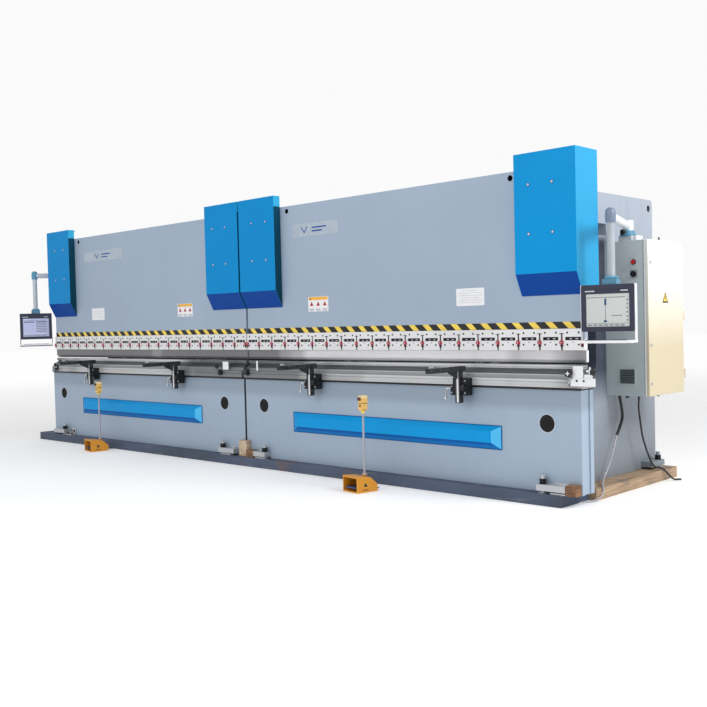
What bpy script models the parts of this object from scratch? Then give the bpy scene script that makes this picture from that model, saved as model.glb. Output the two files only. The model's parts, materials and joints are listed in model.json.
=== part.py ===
"""Tandem hydraulic press brake: two 4 m machines side by side on shared base beams.

Units are metres, +Z is up and the floor is z = 0. X runs along the bending line, the
operator stands on the -Y side, and the front face of both rams is the plane y = 0.
"""

import math

import bmesh
import bpy
from mathutils import Matrix, Vector

# ---------------------------------------------------------------- driving dimensions
MACHINES = {"left": -2.0, "right": 2.0}  # centre plane of each machine
HALF_LENGTH = 1.985  # half of one machine's table
GAP = 0.0003  # clearance between pieces that bear on each other

BASE_TOP = 0.094
BASE_LEFT, BASE_RIGHT = -4.24, 3.85
BASE_FRONT, BASE_BACK = -0.15, 1.69
TIMBER = {"x": (3.50, 3.92), "y": (0.2703, 1.72)}

TABLE_TOP = 0.913
TABLE_FRONT, TABLE_BACK = -0.055, 0.125
PORTHOLE = {"offset": 1.69, "z": 0.637, "radius": 0.07, "depth": 0.05}
PORTHOLE_MIDDLE = {"left": -2.04, "right": 1.99}  # middle between a table's two portholes

FRAME_OUTER = 1.735  # outer face of a side frame, from the machine's centre plane
FRAME_THICKNESS = 0.08
FRAME_BACK, FRAME_TOP = 1.68, 2.51
JAW_FRONT = 0.20  # front edge of the upper jaw
THROAT_BACK, THROAT_BOTTOM, THROAT_TOP = 0.63, 0.98, 1.90

BED_TOP = 1.047
DIE_TOP = 1.098
PUNCH_TIP = 1.108
PUNCH_TOP = 1.2112
TOOL_Y = 0.03  # plane of the punch tip and the V groove

RAM_THICKNESS = 0.06
RAM_BOTTOM, RAM_SHOULDER, RAM_TOP = 1.30, 1.745, 2.654
RAM_HALF, RAM_UPPER_HALF = 1.985, 1.52
LIFT_HOLE = {"offset": 1.34, "z": 2.604, "radius": 0.025}

CLAMPS = 20
CLAMP_PITCH = 0.200
CLAMP_WIDTH = 0.186
CLAMP_FRONT = -0.015
CLAMP_BOTTOM, CLAMP_TOP = 1.2115, 1.3797
WINDOW = {"half": 0.070, "bottom": 1.290, "top": 1.316, "depth": 0.010}

CYLINDER_OFFSET = 1.70
BARREL_RADIUS, BARREL_BOTTOM, BARREL_TOP = 0.105, 1.945, 2.60
ROD_RADIUS, ROD_TOP = 0.060, 2.00

COVER_INNER, COVER_OUTER = 1.434, 1.989
COVER_FRONT, COVER_BACK = -0.090, 0.240
COVER_TOP, COVER_KNEE, COVER_BOTTOM = 2.766, 1.817, 1.645
COVER_ROOF_BACK = 0.080  # back edge of a cover's top sheet, short of its outer cheek
SHEET = 0.003

TANK = {"front": 0.75, "back": 1.15, "bottom": 1.95, "top": 2.45}

GAUGE_RAIL_OFFSET = 1.10
GAUGE_RAIL_TOP = 0.88
BEAM_TOP = 1.04
FINGER_OFFSET = 0.80

CABINET_X = (MACHINES["right"] + FRAME_OUTER + GAP, 4.10)
CABINET_Y = (0.795, 1.440)
CABINET_Z = (0.80, 2.09)
CABINET_WALL = 0.02
DOOR_THICKNESS = 0.025
BUTTON_X, BUTTON_Z = 4.00, 1.91
SWITCH_Z = 1.811

ARM_Z = 2.215
PENDANTS = {
    "left": {"pivot": (-3.93, 0.53), "head": (-4.30, -0.12), "turn": math.radians(60)},
    "right": {"pivot": (3.92, 0.86), "head": (4.225, 0.00), "turn": math.radians(7)},
}
BRACKET_TOP = 2.13
TUBE_RADIUS = {"arm": 0.033, "head": 0.034, "post": 0.029}

SUPPORT_OFFSET = 0.895
RAIL_FACE = -0.082  # front of the slotted rail under the die bed
T_BAR_HALF = 0.024
ARM_TIP = -0.56

STATIONS = {"left": (-2.45, -0.37), "right": (2.06, -0.50)}
STATION_TURN = math.radians(-10)
STATION_HALF = 0.105
STOP_BOX = {"half_width": 0.029, "half_depth": 0.030, "bottom": 0.700, "top": 0.832}


# ---------------------------------------------------------------- materials
def paint(name, colour, roughness, metallic=0.0):
    material = bpy.data.materials.new(name)
    material.use_nodes = True
    shader = material.node_tree.nodes["Principled BSDF"]
    shader.inputs["Base Color"].default_value = (*colour, 1.0)
    shader.inputs["Roughness"].default_value = roughness
    shader.inputs["Metallic"].default_value = metallic
    return material


def make_materials():
    return {
        "grey_blue_paint": paint("grey_blue_paint", (0.35, 0.44, 0.54), 0.35),
        "frame_paint": paint("frame_paint", (0.42, 0.45, 0.55), 0.40),
        "bright_blue_paint": paint("bright_blue_paint", (0.01, 0.30, 0.70), 0.35),
        "ground_steel": paint("ground_steel", (0.55, 0.57, 0.58), 0.30, 1.0),
        "clamp_plating": paint("clamp_plating", (0.80, 0.80, 0.80), 0.35, 0.6),
        "black_steel": paint("black_steel", (0.03, 0.03, 0.035), 0.45, 0.7),
        "base_paint": paint("base_paint", (0.05, 0.08, 0.14), 0.60),
        "timber": paint("timber", (0.55, 0.40, 0.24), 0.80),
        "cabinet_paint": paint("cabinet_paint", (0.28, 0.34, 0.37), 0.45),
        "door_paint": paint("door_paint", (0.82, 0.77, 0.62), 0.45),
        "pendant_plastic": paint("pendant_plastic", (0.08, 0.09, 0.14), 0.45),
        "pendant_tube": paint("pendant_tube", (0.68, 0.70, 0.73), 0.35, 0.2),
        "pedal_yellow": paint("pedal_yellow", (0.85, 0.35, 0.02), 0.45),
        "pedal_blue": paint("pedal_blue", (0.10, 0.13, 0.28), 0.50),
        "signal_red": paint("signal_red", (0.65, 0.03, 0.02), 0.40),
        "switch_black": paint("switch_black", (0.02, 0.02, 0.02), 0.50),
    }


# ---------------------------------------------------------------- shape helpers
def block(x, y, z):
    """A box between two limits on each axis."""
    bm = bmesh.new()
    bmesh.ops.create_cube(bm, size=1.0)
    for vertex in bm.verts:
        for axis, (low, high) in enumerate((x, y, z)):
            vertex.co[axis] = high if vertex.co[axis] > 0 else low
    return bm


def prism(axis, outline, start, end):
    """An outline extruded along one axis; its points hold the two other axes in order."""
    order = {"X": (2, 0, 1), "Y": (0, 2, 1), "Z": (0, 1, 2)}[axis]

    def place(u, v, w):
        values = (u, v, w)
        return Vector([values[index] for index in order])

    bm = bmesh.new()
    face = bm.faces.new([bm.verts.new(place(u, v, start)) for u, v in outline])
    grown = bmesh.ops.extrude_face_region(bm, geom=[face])["geom"]
    moved = [item for item in grown if isinstance(item, bmesh.types.BMVert)]
    bmesh.ops.translate(bm, verts=moved, vec=place(0, 0, end - start))
    bmesh.ops.recalc_face_normals(bm, faces=bm.faces)
    return bm


def rod(start, end, radius, segments=24):
    """A round bar between two points."""
    start, end = Vector(start), Vector(end)
    run = end - start
    turn = run.to_track_quat("Z", "Y").to_matrix().to_4x4()
    bm = bmesh.new()
    bmesh.ops.create_cone(
        bm,
        cap_ends=True,
        segments=segments,
        radius1=radius,
        radius2=radius,
        depth=run.length,
        matrix=Matrix.Translation((start + end) / 2) @ turn,
    )
    return bm


def rounded(corners, steps=5):
    """An outline from (u, v, radius) corners, each corner with a radius turned into an arc."""
    points = []
    for index, (u, v, radius) in enumerate(corners):
        corner = Vector((u, v))
        if radius == 0:
            points.append(tuple(corner))
            continue
        before = (Vector(corners[index - 1][:2]) - corner).normalized()
        after = (Vector(corners[(index + 1) % len(corners)][:2]) - corner).normalized()
        half = before.angle(after) / 2
        reach = radius / math.tan(half)
        centre = corner + (before + after).normalized() * (radius / math.sin(half))
        first = corner + before * reach - centre
        sweep = first.angle_signed(corner + after * reach - centre)
        for step in range(steps + 1):
            arm = first.copy()
            arm.rotate(Matrix.Rotation(-sweep * step / steps, 2))
            points.append(tuple(centre + arm))
    return points


def mesh_object(name, bm, pivot, turn):
    """Moves a shape from world space to its own pivot and turn, and wraps it in an object."""
    bmesh.ops.translate(bm, verts=bm.verts, vec=-Vector(pivot))
    mesh = bpy.data.meshes.new(name)
    bm.to_mesh(mesh)
    bm.free()
    mesh.shade_smooth()
    mesh.set_sharp_from_angle(angle=math.radians(30))
    made = bpy.data.objects.new(name, mesh)
    made.location = pivot
    made.rotation_euler.z = turn
    return made


def combine(body, shapes, operation, pivot, turn):
    """One exact Boolean of the body with every shape in a hidden collection."""
    if not shapes:
        return
    group = bpy.data.collections.new(f"{body.name}_{operation.lower()}")
    group.hide_render = True
    bpy.context.scene.collection.children.link(group)
    for index, shape in enumerate(shapes):
        helper = mesh_object(f"{group.name}_{index}", shape, pivot, turn)
        helper.hide_render = True
        helper.display_type = "WIRE"
        group.objects.link(helper)
    modifier = body.modifiers.new(operation.lower(), "BOOLEAN")
    modifier.operation = operation
    modifier.solver = "EXACT"
    modifier.operand_type = "COLLECTION"
    modifier.collection = group


def solid(name, material, shapes, cuts=(), pivot=(0, 0, 0), turn=0.0, bevel=0.0):
    """One named sub-part: shapes joined, cuts taken away, and long edges broken by a bevel."""
    body = mesh_object(name, shapes[0], pivot, turn)
    body.data.materials.append(material)
    bpy.context.scene.collection.objects.link(body)
    combine(body, shapes[1:], "UNION", pivot, turn)
    combine(body, cuts, "DIFFERENCE", pivot, turn)
    if bevel:
        modifier = body.modifiers.new("edges", "BEVEL")
        modifier.width = bevel
        modifier.segments = 1
        modifier.limit_method = "ANGLE"
        modifier.angle_limit = math.radians(40)
    return body


def span(centre, half):
    return (centre - half, centre + half)


def beside(centre, side, near, far):
    """Limits in X between two distances from a plane, on its left (-1) or right (+1)."""
    return tuple(sorted((centre + side * near, centre + side * far)))


# ---------------------------------------------------------------- base
def make_base(colours):
    """Front and back beams joined by two ties, and a loose timber under the right end."""
    beam = (0, BASE_TOP)
    tie = (0.001, BASE_TOP - GAP)
    front = (BASE_FRONT, TIMBER["y"][0] - GAP)
    behind = (TIMBER["y"][0] - 0.05, 1.40)
    solid(
        "base_frame",
        colours["base_paint"],
        [
            block((BASE_LEFT, BASE_RIGHT), front, beam),
            block((BASE_LEFT, TIMBER["x"][0] - GAP), (1.36, BASE_BACK), beam),
            block((BASE_LEFT + 0.01, -3.55), behind, tie),
            block((-0.65, 0.60), behind, tie),
        ],
    )
    solid(
        "base_timber_right",
        colours["timber"],
        [block(TIMBER["x"], TIMBER["y"], beam)],
        bevel=0.004,
    )


# ---------------------------------------------------------------- table, bed and die
def table_outline(centre):
    """Plan of the table: two skins with a shallow groove between them at each end."""
    left, right = span(centre, HALF_LENGTH)
    groove, front_skin, back_skin = 0.012, -0.018, 0.075
    return [
        (left, TABLE_FRONT),
        (right, TABLE_FRONT),
        (right, front_skin),
        (right - groove, front_skin),
        (right - groove, back_skin),
        (right, back_skin),
        (right, TABLE_BACK),
        (left, TABLE_BACK),
        (left, back_skin),
        (left + groove, back_skin),
        (left + groove, front_skin),
        (left, front_skin),
    ]


def make_table(side, centre, colours):
    shapes = [prism("Z", table_outline(centre), BASE_TOP + GAP, TABLE_TOP)]
    cuts = []
    front = TABLE_FRONT
    for end in (-1, 1):
        lug = beside(centre, end, 1.62, 1.88)
        shapes.append(block(lug, (front - 0.085, front + 0.02), (0.115, 0.165)))
        bolt_x = centre + end * 1.66
        bolt_y = front - 0.045
        shapes.append(
            rod((bolt_x, bolt_y, BASE_TOP + GAP), (bolt_x, bolt_y, 0.235), 0.018, 12)
        )
        hole_x = PORTHOLE_MIDDLE[side] + end * PORTHOLE["offset"]
        cuts.append(
            rod(
                (hole_x, front - 0.01, PORTHOLE["z"]),
                (hole_x, front + PORTHOLE["depth"], PORTHOLE["z"]),
                PORTHOLE["radius"],
                40,
            )
        )
    solid(f"table_{side}", colours["grey_blue_paint"], shapes, cuts)


def make_die_bed(side, centre, colours):
    """Crowned bed on the table top, with the slotted rail of the sheet supports in front."""
    web, lip, brow = -0.015, -0.046, -0.062
    rail_low, rail_high, rail_top = 0.924, 0.988, 1.030
    slot_low, slot_high, slot_floor = 0.961, 0.969, RAIL_FACE + 0.008
    outline = [
        (-0.045, TABLE_TOP + GAP),
        (TABLE_BACK, TABLE_TOP + GAP),
        (TABLE_BACK, BED_TOP - GAP),
        (web, BED_TOP - GAP),
        (web, rail_top),
        (lip, rail_top),
        (lip, rail_top - 0.008),
        (brow, rail_high + 0.006),
        (RAIL_FACE, rail_high),
        (RAIL_FACE, slot_high),
        (slot_floor, slot_high),
        (slot_floor, slot_low),
        (RAIL_FACE, slot_low),
        (RAIL_FACE, rail_low),
        (-0.045, rail_low),
    ]
    left, right = span(centre, HALF_LENGTH - 0.005)
    solid(f"die_bed_{side}", colours["ground_steel"], [prism("X", outline, left, right)])


def make_die(side, centre, colours):
    """Single-V die rail under the punch, on a narrower tang."""
    tang, half_top, half_v, v_depth = 0.022, 0.036, 0.008, 0.008
    head = BED_TOP + 0.018
    outline = [
        (TOOL_Y - tang, BED_TOP),
        (TOOL_Y + tang, BED_TOP),
        (TOOL_Y + tang, head),
        (TOOL_Y + half_top, head + 0.004),
        (TOOL_Y + half_top, DIE_TOP),
        (TOOL_Y + half_v, DIE_TOP),
        (TOOL_Y, DIE_TOP - v_depth),
        (TOOL_Y - half_v, DIE_TOP),
        (TOOL_Y - half_top, DIE_TOP),
        (TOOL_Y - half_top, head + 0.004),
        (TOOL_Y - tang, head),
    ]
    left, right = span(centre, HALF_LENGTH - 0.01)
    solid(f"die_{side}", colours["ground_steel"], [prism("X", outline, left, right)])


# ---------------------------------------------------------------- side frames
def frame_outline():
    return rounded(
        [
            (TABLE_BACK + GAP, BASE_TOP + GAP, 0),
            (FRAME_BACK, BASE_TOP + GAP, 0),
            (FRAME_BACK, FRAME_TOP, 0.03),
            (JAW_FRONT, FRAME_TOP, 0.03),
            (JAW_FRONT, THROAT_TOP, 0.03),
            (THROAT_BACK, THROAT_TOP, 0.12),
            (THROAT_BACK, THROAT_BOTTOM, 0.12),
            (TABLE_BACK + GAP, THROAT_BOTTOM, 0),
        ]
    )


def make_side_frame(name, centre, side, colours, bracket=None):
    """C-shaped side plate with a hose slot, a lifting hole and a rear levelling foot."""
    inner = FRAME_OUTER - FRAME_THICKNESS
    plate = beside(centre, side, inner, FRAME_OUTER)
    foot = beside(centre, side, FRAME_OUTER - 0.02, FRAME_OUTER + 0.11)
    bolt_x = centre + side * (FRAME_OUTER + 0.07)
    through = (plate[0] - 0.05, plate[1] + 0.05)
    shapes = [
        prism("X", frame_outline(), *plate),
        block(foot, (1.39, 1.63), (0.115, 0.165)),
        rod((bolt_x, 1.58, BASE_TOP + GAP), (bolt_x, 1.58, 0.235), 0.018, 12),
    ]
    if bracket:
        pivot_x, pivot_y = bracket
        reach = tuple(sorted((pivot_x + side * 0.06, centre + side * (FRAME_OUTER - 0.02))))
        shapes.append(block(reach, span(pivot_y, 0.07), (2.09, BRACKET_TOP)))
    cuts = [
        block(through, (0.49, 0.83), (2.15, 2.25)),
        rod((through[0], 1.61, 2.43), (through[1], 1.61, 2.43), 0.03),
    ]
    solid(name, colours["frame_paint"], shapes, cuts)


# ---------------------------------------------------------------- hydraulics
def make_tank(side, centre, colours):
    inner = FRAME_OUTER - FRAME_THICKNESS - GAP
    depth = (TANK["front"], TANK["back"])
    shapes = [block(span(centre, inner), depth, (TANK["bottom"], TANK["top"]))]
    filler_x = centre - 1.0
    filler_y = sum(depth) / 2
    shapes.append(
        rod((filler_x, filler_y, TANK["top"] - 0.01), (filler_x, filler_y, TANK["top"] + 0.05), 0.05)
    )
    solid(f"oil_tank_{side}", colours["frame_paint"], shapes, bevel=0.004)


def make_pump_motor(side, centre, colours):
    """Electric motor on a foot plate with a gear pump flanged to its end."""
    seat = TANK["top"] + GAP
    middle = (TANK["front"] + TANK["back"]) / 2
    axis_z = seat + 0.14
    shapes = [
        block(span(centre, 0.17), span(middle, 0.12), (seat, seat + 0.05)),
        rod((centre - 0.20, middle, axis_z), (centre + 0.20, middle, axis_z), 0.11, 32),
        rod((centre + 0.19, middle, axis_z), (centre + 0.24, middle, axis_z), 0.075),
        rod((centre + 0.23, middle, axis_z), (centre + 0.40, middle, axis_z), 0.05),
        block(span(centre - 0.02, 0.06), (middle - 0.15, middle - 0.05), span(axis_z, 0.05)),
    ]
    solid(f"pump_motor_{side}", colours["bright_blue_paint"], shapes)


def make_cylinder(number, x, colours):
    """Cylinder barrel with a blind bore for the rod, a mounting block and a valve block."""
    bore_top = ROD_TOP + 0.25
    shapes = [
        rod((x, TOOL_Y, BARREL_BOTTOM), (x, TOOL_Y, BARREL_TOP), BARREL_RADIUS, 32),
        block(span(x, 0.12), (0.09, JAW_FRONT - GAP), (2.00, 2.48)),
        block(span(x, 0.06), (-0.03, 0.09), (BARREL_TOP - 0.01, 2.70)),
    ]
    bore = rod((x, TOOL_Y, BARREL_BOTTOM - 0.05), (x, TOOL_Y, bore_top), ROD_RADIUS + 0.002, 32)
    solid(f"cylinder_{number}", colours["black_steel"], shapes, [bore])


def cover_outline():
    """Side view of a cover: upright front, then a chin that slopes back to the ram."""
    return [
        (COVER_FRONT, COVER_TOP),
        (COVER_FRONT, COVER_KNEE),
        (-0.004, COVER_BOTTOM),
        (COVER_BACK, COVER_BOTTOM + 0.06),
        (COVER_BACK, COVER_TOP),
    ]


def make_cover(number, centre, side, colours):
    """Folded sheet cover: front, sloping chin, top and two cheeks, open behind and below."""
    width = beside(centre, side, COVER_INNER, COVER_OUTER)
    inside = (width[0] + SHEET, width[1] - SHEET)
    behind = COVER_BACK + 0.10
    hollow = prism(
        "X",
        [
            (COVER_FRONT + SHEET, COVER_TOP - SHEET),
            (COVER_FRONT + SHEET, COVER_KNEE + 0.0007),
            (-0.0007, COVER_BOTTOM - 0.0003),
            (-0.0007, COVER_BOTTOM - 0.10),
            (behind, COVER_BOTTOM - 0.10),
            (behind, COVER_TOP - SHEET),
        ],
        *inside,
    )
    ram_side = beside(centre, side, COVER_INNER - 0.05, RAM_UPPER_HALF + 0.012)
    ram_room = block(ram_side, (-0.004, behind), (COVER_BOTTOM - 0.1, COVER_TOP + 0.1))
    roof_room = block(inside, (COVER_ROOF_BACK, behind), (COVER_TOP - SHEET - 0.001, COVER_TOP + 0.1))
    solid(
        f"cylinder_cover_{number}",
        colours["bright_blue_paint"],
        [prism("X", cover_outline(), *width)],
        [hollow, ram_room, roof_room],
    )


# ---------------------------------------------------------------- ram and upper tools
def make_ram(side, centre, colours):
    """Ram plate, notched under the cylinders, with both piston rods fixed to its shoulders."""
    outline = rounded(
        [
            (centre - RAM_HALF, RAM_BOTTOM, 0),
            (centre + RAM_HALF, RAM_BOTTOM, 0),
            (centre + RAM_HALF, RAM_SHOULDER, 0),
            (centre + RAM_UPPER_HALF, RAM_SHOULDER, 0.04),
            (centre + RAM_UPPER_HALF, RAM_TOP, 0),
            (centre - RAM_UPPER_HALF, RAM_TOP, 0),
            (centre - RAM_UPPER_HALF, RAM_SHOULDER, 0.04),
            (centre - RAM_HALF, RAM_SHOULDER, 0),
        ]
    )
    shapes = [prism("Y", outline, 0, RAM_THICKNESS)]
    holes = []
    for end in (-1, 1):
        x = centre + end * CYLINDER_OFFSET
        shapes.append(rod((x, TOOL_Y, RAM_SHOULDER - 0.01), (x, TOOL_Y, ROD_TOP), ROD_RADIUS, 32))
        x = centre + end * LIFT_HOLE["offset"]
        z = LIFT_HOLE["z"]
        holes.append(rod((x, -0.05, z), (x, RAM_THICKNESS + 0.05, z), LIFT_HOLE["radius"]))
    solid(f"ram_{side}", colours["grey_blue_paint"], shapes, holes)


def clamp_outline():
    """End view of one clamp: it hangs in front of the ram and reaches under it."""
    ram_face = -GAP
    return [
        (0.020, CLAMP_BOTTOM),
        (0.020, RAM_BOTTOM - GAP),
        (ram_face, RAM_BOTTOM - GAP),
        (ram_face, CLAMP_TOP),
        (CLAMP_FRONT, CLAMP_TOP),
        (CLAMP_FRONT, CLAMP_BOTTOM),
    ]


def make_clamp_row(side, centre, colours):
    """Row of quick clamps on one adapter bar under the ram, each with a wedge window."""
    bar = block(
        span(centre, RAM_HALF - 0.005), (0.005, RAM_THICKNESS), (1.215, RAM_BOTTOM - 0.004)
    )
    shapes = [bar]
    windows = []
    window_y = (CLAMP_FRONT - 0.01, CLAMP_FRONT + WINDOW["depth"])
    for index in range(CLAMPS):
        x = centre + CLAMP_PITCH * (index + 0.5 - CLAMPS / 2)
        shapes.append(prism("X", clamp_outline(), *span(x, CLAMP_WIDTH / 2)))
        windows.append(
            block(span(x, WINDOW["half"]), window_y, (WINDOW["bottom"], WINDOW["top"]))
        )
    solid(f"clamp_row_{side}", colours["clamp_plating"], shapes, windows)


def make_punch(side, centre, colours):
    front, back, nose = 0.002, 0.052, 1.138
    outline = [
        (front, PUNCH_TOP),
        (front, nose),
        (TOOL_Y - 0.001, PUNCH_TIP),
        (TOOL_Y + 0.001, PUNCH_TIP),
        (back, nose),
        (back, PUNCH_TOP),
    ]
    left, right = span(centre, CLAMP_PITCH * CLAMPS / 2 - 0.008)
    solid(f"punch_{side}", colours["ground_steel"], [prism("X", outline, left, right)])


# ---------------------------------------------------------------- back gauge
def make_gauge_base(side, centre, colours):
    """Two slideways behind the table, tied together at the rear."""
    rear = 1.20
    low = GAUGE_RAIL_TOP - 0.08
    shapes = [block(span(centre, GAUGE_RAIL_OFFSET + 0.04), (rear - 0.08, rear), (low + 0.01, 0.87))]
    for end in (-1, 1):
        x = centre + end * GAUGE_RAIL_OFFSET
        shapes.append(block(span(x, 0.04), (TABLE_BACK + GAP, rear + 0.01), (low, GAUGE_RAIL_TOP)))
    solid(f"gauge_slideway_{side}", colours["black_steel"], shapes)


def make_gauge_beam(side, centre, colours):
    shapes = [block(span(centre, 1.50), (0.55, 0.63), (0.96, BEAM_TOP))]
    for end in (-1, 1):
        x = centre + end * GAUGE_RAIL_OFFSET
        shapes.append(block(span(x, 0.07), (0.50, 0.68), (GAUGE_RAIL_TOP + GAP, 0.97)))
    pivot = (centre, 0.59, BEAM_TOP)
    solid(f"gauge_beam_{side}", colours["clamp_plating"], shapes, pivot=pivot)


def make_finger(name, x, colours):
    """Stop finger: a saddle on the beam, an arm towards the tools and a stepped tip."""
    shapes = [
        block(span(x, 0.045), (0.545, 0.635), (BEAM_TOP + GAP, 1.080)),
        block(span(x, 0.018), (0.27, 0.56), (1.052, 1.078)),
        block(span(x, 0.026), (0.25, 0.29), (1.060, 1.118)),
    ]
    solid(name, colours["ground_steel"], shapes, pivot=(x, 0.59, BEAM_TOP))


# ---------------------------------------------------------------- electrical cabinet
def make_cabinet(colours):
    x, y, z = CABINET_X, CABINET_Y, CABINET_Z
    wall = CABINET_WALL
    pivot_x, pivot_y = PENDANTS["right"]["pivot"]
    shapes = [
        block(x, y, z),
        block(span(pivot_x, 0.06), span(pivot_y, 0.055), (z[1] - 0.01, BRACKET_TOP)),
    ]
    room = block(
        (x[0] + wall, x[1] + 0.05), (y[0] + wall, y[1] - wall), (z[0] + wall, z[1] - wall)
    )
    button_hole = rod((BUTTON_X, y[0] - 0.02, BUTTON_Z), (BUTTON_X, y[0] + 0.05, BUTTON_Z), 0.0155)
    solid("cabinet_body", colours["cabinet_paint"], shapes, [room, button_hole])

    face = x[1] + GAP
    door = block((face, face + DOOR_THICKNESS), y, z)
    hinge = (face + DOOR_THICKNESS + 0.002, y[1] + 0.002, sum(z) / 2)
    solid("cabinet_door", colours["door_paint"], [door], pivot=hinge, bevel=0.003)

    outside = y[0] - 0.024
    button = rod((BUTTON_X, outside, BUTTON_Z), (BUTTON_X, y[0] + 0.008, BUTTON_Z), 0.0150)
    solid("red_button", colours["signal_red"], [button], pivot=(BUTTON_X, y[0], BUTTON_Z))
    solid(
        "main_switch_knob",
        colours["switch_black"],
        [
            rod((BUTTON_X, y[0] - 0.018, SWITCH_Z), (BUTTON_X, y[0] - GAP, SWITCH_Z), 0.024),
            block(span(BUTTON_X, 0.007), (y[0] - 0.034, y[0] - 0.010), span(SWITCH_Z, 0.022)),
        ],
        pivot=(BUTTON_X, y[0], SWITCH_Z),
    )


# ---------------------------------------------------------------- control pendants
def make_pendant(side, colours):
    """Swinging arm and, hanging from its head, the post with the control panel."""
    pivot_x, pivot_y = PENDANTS[side]["pivot"]
    head_x, head_y = PENDANTS[side]["head"]
    head_low = ARM_Z - 0.050
    arm = [
        rod((pivot_x, pivot_y, ARM_Z), (head_x, head_y, ARM_Z), TUBE_RADIUS["arm"]),
        rod((pivot_x, pivot_y, BRACKET_TOP + GAP), (pivot_x, pivot_y, ARM_Z + 0.045), 0.045),
        rod((head_x, head_y, head_low), (head_x, head_y, ARM_Z + 0.050), TUBE_RADIUS["head"]),
    ]
    solid(
        f"pendant_arm_{side}",
        colours["pendant_tube"],
        arm,
        pivot=(pivot_x, pivot_y, ARM_Z),
    )
    panel_top, panel_bottom = 1.704, 1.355
    back, front = head_y - 0.030, head_y - 0.085
    panel = [
        block(span(head_x, 0.205), (front, back), (panel_bottom, panel_top)),
        rod((head_x, head_y, panel_top - 0.02), (head_x, head_y, head_low - GAP), TUBE_RADIUS["post"]),
        block(span(head_x, 0.055), (back - 0.02, head_y + 0.035), (panel_top - 0.05, 1.745)),
        block(span(head_x, 0.208), (front - 0.075, back - 0.006), (1.272, 1.290)),
    ]
    for end in (-1, 1):
        cheek = beside(head_x, end, 0.200, 0.207)
        panel.append(block(cheek, (front + 0.004, back - 0.008), (1.280, panel_bottom + 0.02)))
    solid(
        f"pendant_panel_{side}",
        colours["pendant_plastic"],
        panel,
        pivot=(head_x, head_y, ARM_Z),
        turn=PENDANTS[side]["turn"],
    )


# ---------------------------------------------------------------- sheet supports
def make_support(number, x, colours):
    """Carriage on the slotted rail, and the T-slot bar with the sheet arm it clamps."""
    bar_back, bar_front = -0.1263, -0.176
    low, high = 0.838, 0.984
    plate = block(span(x, 0.085), (bar_back + GAP, RAIL_FACE - GAP), (low, high))
    carriage = [plate]
    for side in (-1, 1):
        cheek = beside(x, side, T_BAR_HALF + GAP, 0.084)
        top = high - 0.001 if side > 0 else 0.930
        carriage.append(block(cheek, (-0.160, bar_back + 0.01), (low + 0.001, top)))
    pivot = (x, RAIL_FACE, 0.965)
    solid(f"support_carriage_{number}", colours["black_steel"], carriage, pivot=pivot)
    arm_bottom, arm_top = 1.040, 1.083
    brace = [
        (bar_front + 0.001, 0.975),
        (bar_front + 0.001, arm_bottom + 0.01),
        (bar_front - 0.12, arm_bottom + 0.01),
        (bar_front - 0.12, 1.030),
    ]
    arm = [
        block(span(x, T_BAR_HALF), (bar_front, bar_back), (0.78, arm_top - 0.005)),
        block(span(x, T_BAR_HALF - 0.001), (ARM_TIP, -0.086), (arm_bottom, arm_top)),
        prism("X", brace, *span(x, 0.005)),
    ]
    solid(f"support_arm_{number}", colours["black_steel"], arm, pivot=(x, -0.15, arm_top))


# ---------------------------------------------------------------- foot switch stations
def hood_outline(y):
    """Side view of the hood: tall open front, and a roof that curves down to the back."""
    return rounded(
        [
            (y - 0.110, 0, 0),
            (y - 0.110, 0.142, 0.006),
            (y + 0.035, 0.130, 0.060),
            (y + 0.110, 0.060, 0.020),
            (y + 0.110, 0, 0),
        ]
    )


def mouth_outline(y, wall):
    """Side view of the hollow under the hood, open at the front."""
    return rounded(
        [
            (y - 0.200, wall, 0),
            (y - 0.200, 0.132, 0),
            (y + 0.030, 0.118, 0.050),
            (y + 0.098, 0.054, 0.010),
            (y + 0.098, wall, 0),
        ]
    )


def stop_box_outline(x):
    left, right = span(x, STOP_BOX["half_width"])
    low, high = STOP_BOX["bottom"], STOP_BOX["top"]
    return rounded([(left, low, 0.020), (right, low, 0.020), (right, high, 0.015), (left, high, 0.015)], 4)


def make_station(side, colours):
    """Hooded foot switch with a post that carries the emergency stop box."""
    x, y = STATIONS[side]
    pivot = (x, y, 0)
    wall = 0.010
    post_y = y + 0.050
    box_half = STOP_BOX["half_depth"]
    shapes = [
        prism("X", hood_outline(y), *span(x, STATION_HALF)),
        rod((x, post_y, 0.122), (x, post_y, STOP_BOX["bottom"] + 0.02), 0.010, 16),
        prism("Y", stop_box_outline(x), *span(post_y, box_half)),
    ]
    button_z = STOP_BOX["top"] - 0.030
    face = post_y - box_half
    cuts = [
        prism("X", mouth_outline(y, wall), *span(x, STATION_HALF - wall)),
        rod((x, face - 0.01, button_z), (x, face + 0.022, button_z), 0.0095, 16),
    ]
    solid(f"foot_switch_{side}", colours["pedal_yellow"], shapes, cuts, pivot, STATION_TURN)
    make_pedal(side, (x, y + 0.080, 0.034), pivot, colours)
    make_stop_button(side, (x, face, button_z), pivot, colours)


def make_pedal(side, axis, station, colours):
    """Pedal plate, drawn from its hinge line at the back of the hood."""
    x, y, z = axis
    plate = prism(
        "X",
        [
            (y - 0.185, z + 0.002),
            (y - 0.185, z + 0.014),
            (y - 0.004, z + 0.012),
            (y + 0.010, z),
            (y - 0.004, z - 0.009),
        ],
        *span(x, 0.075),
    )
    place_turned(f"pedal_{side}", colours["pedal_blue"], [plate], axis, station)


def make_stop_button(side, axis, station, colours):
    """Mushroom button on a stem, drawn from the face of its box."""
    x, face, z = axis
    shapes = [
        rod((x, face - 0.020, z), (x, face - 0.0065, z), 0.0155),
        rod((x, face - 0.010, z), (x, face + 0.012, z), 0.0080, 16),
    ]
    place_turned(f"stop_button_{side}", colours["signal_red"], shapes, axis, station)


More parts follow.
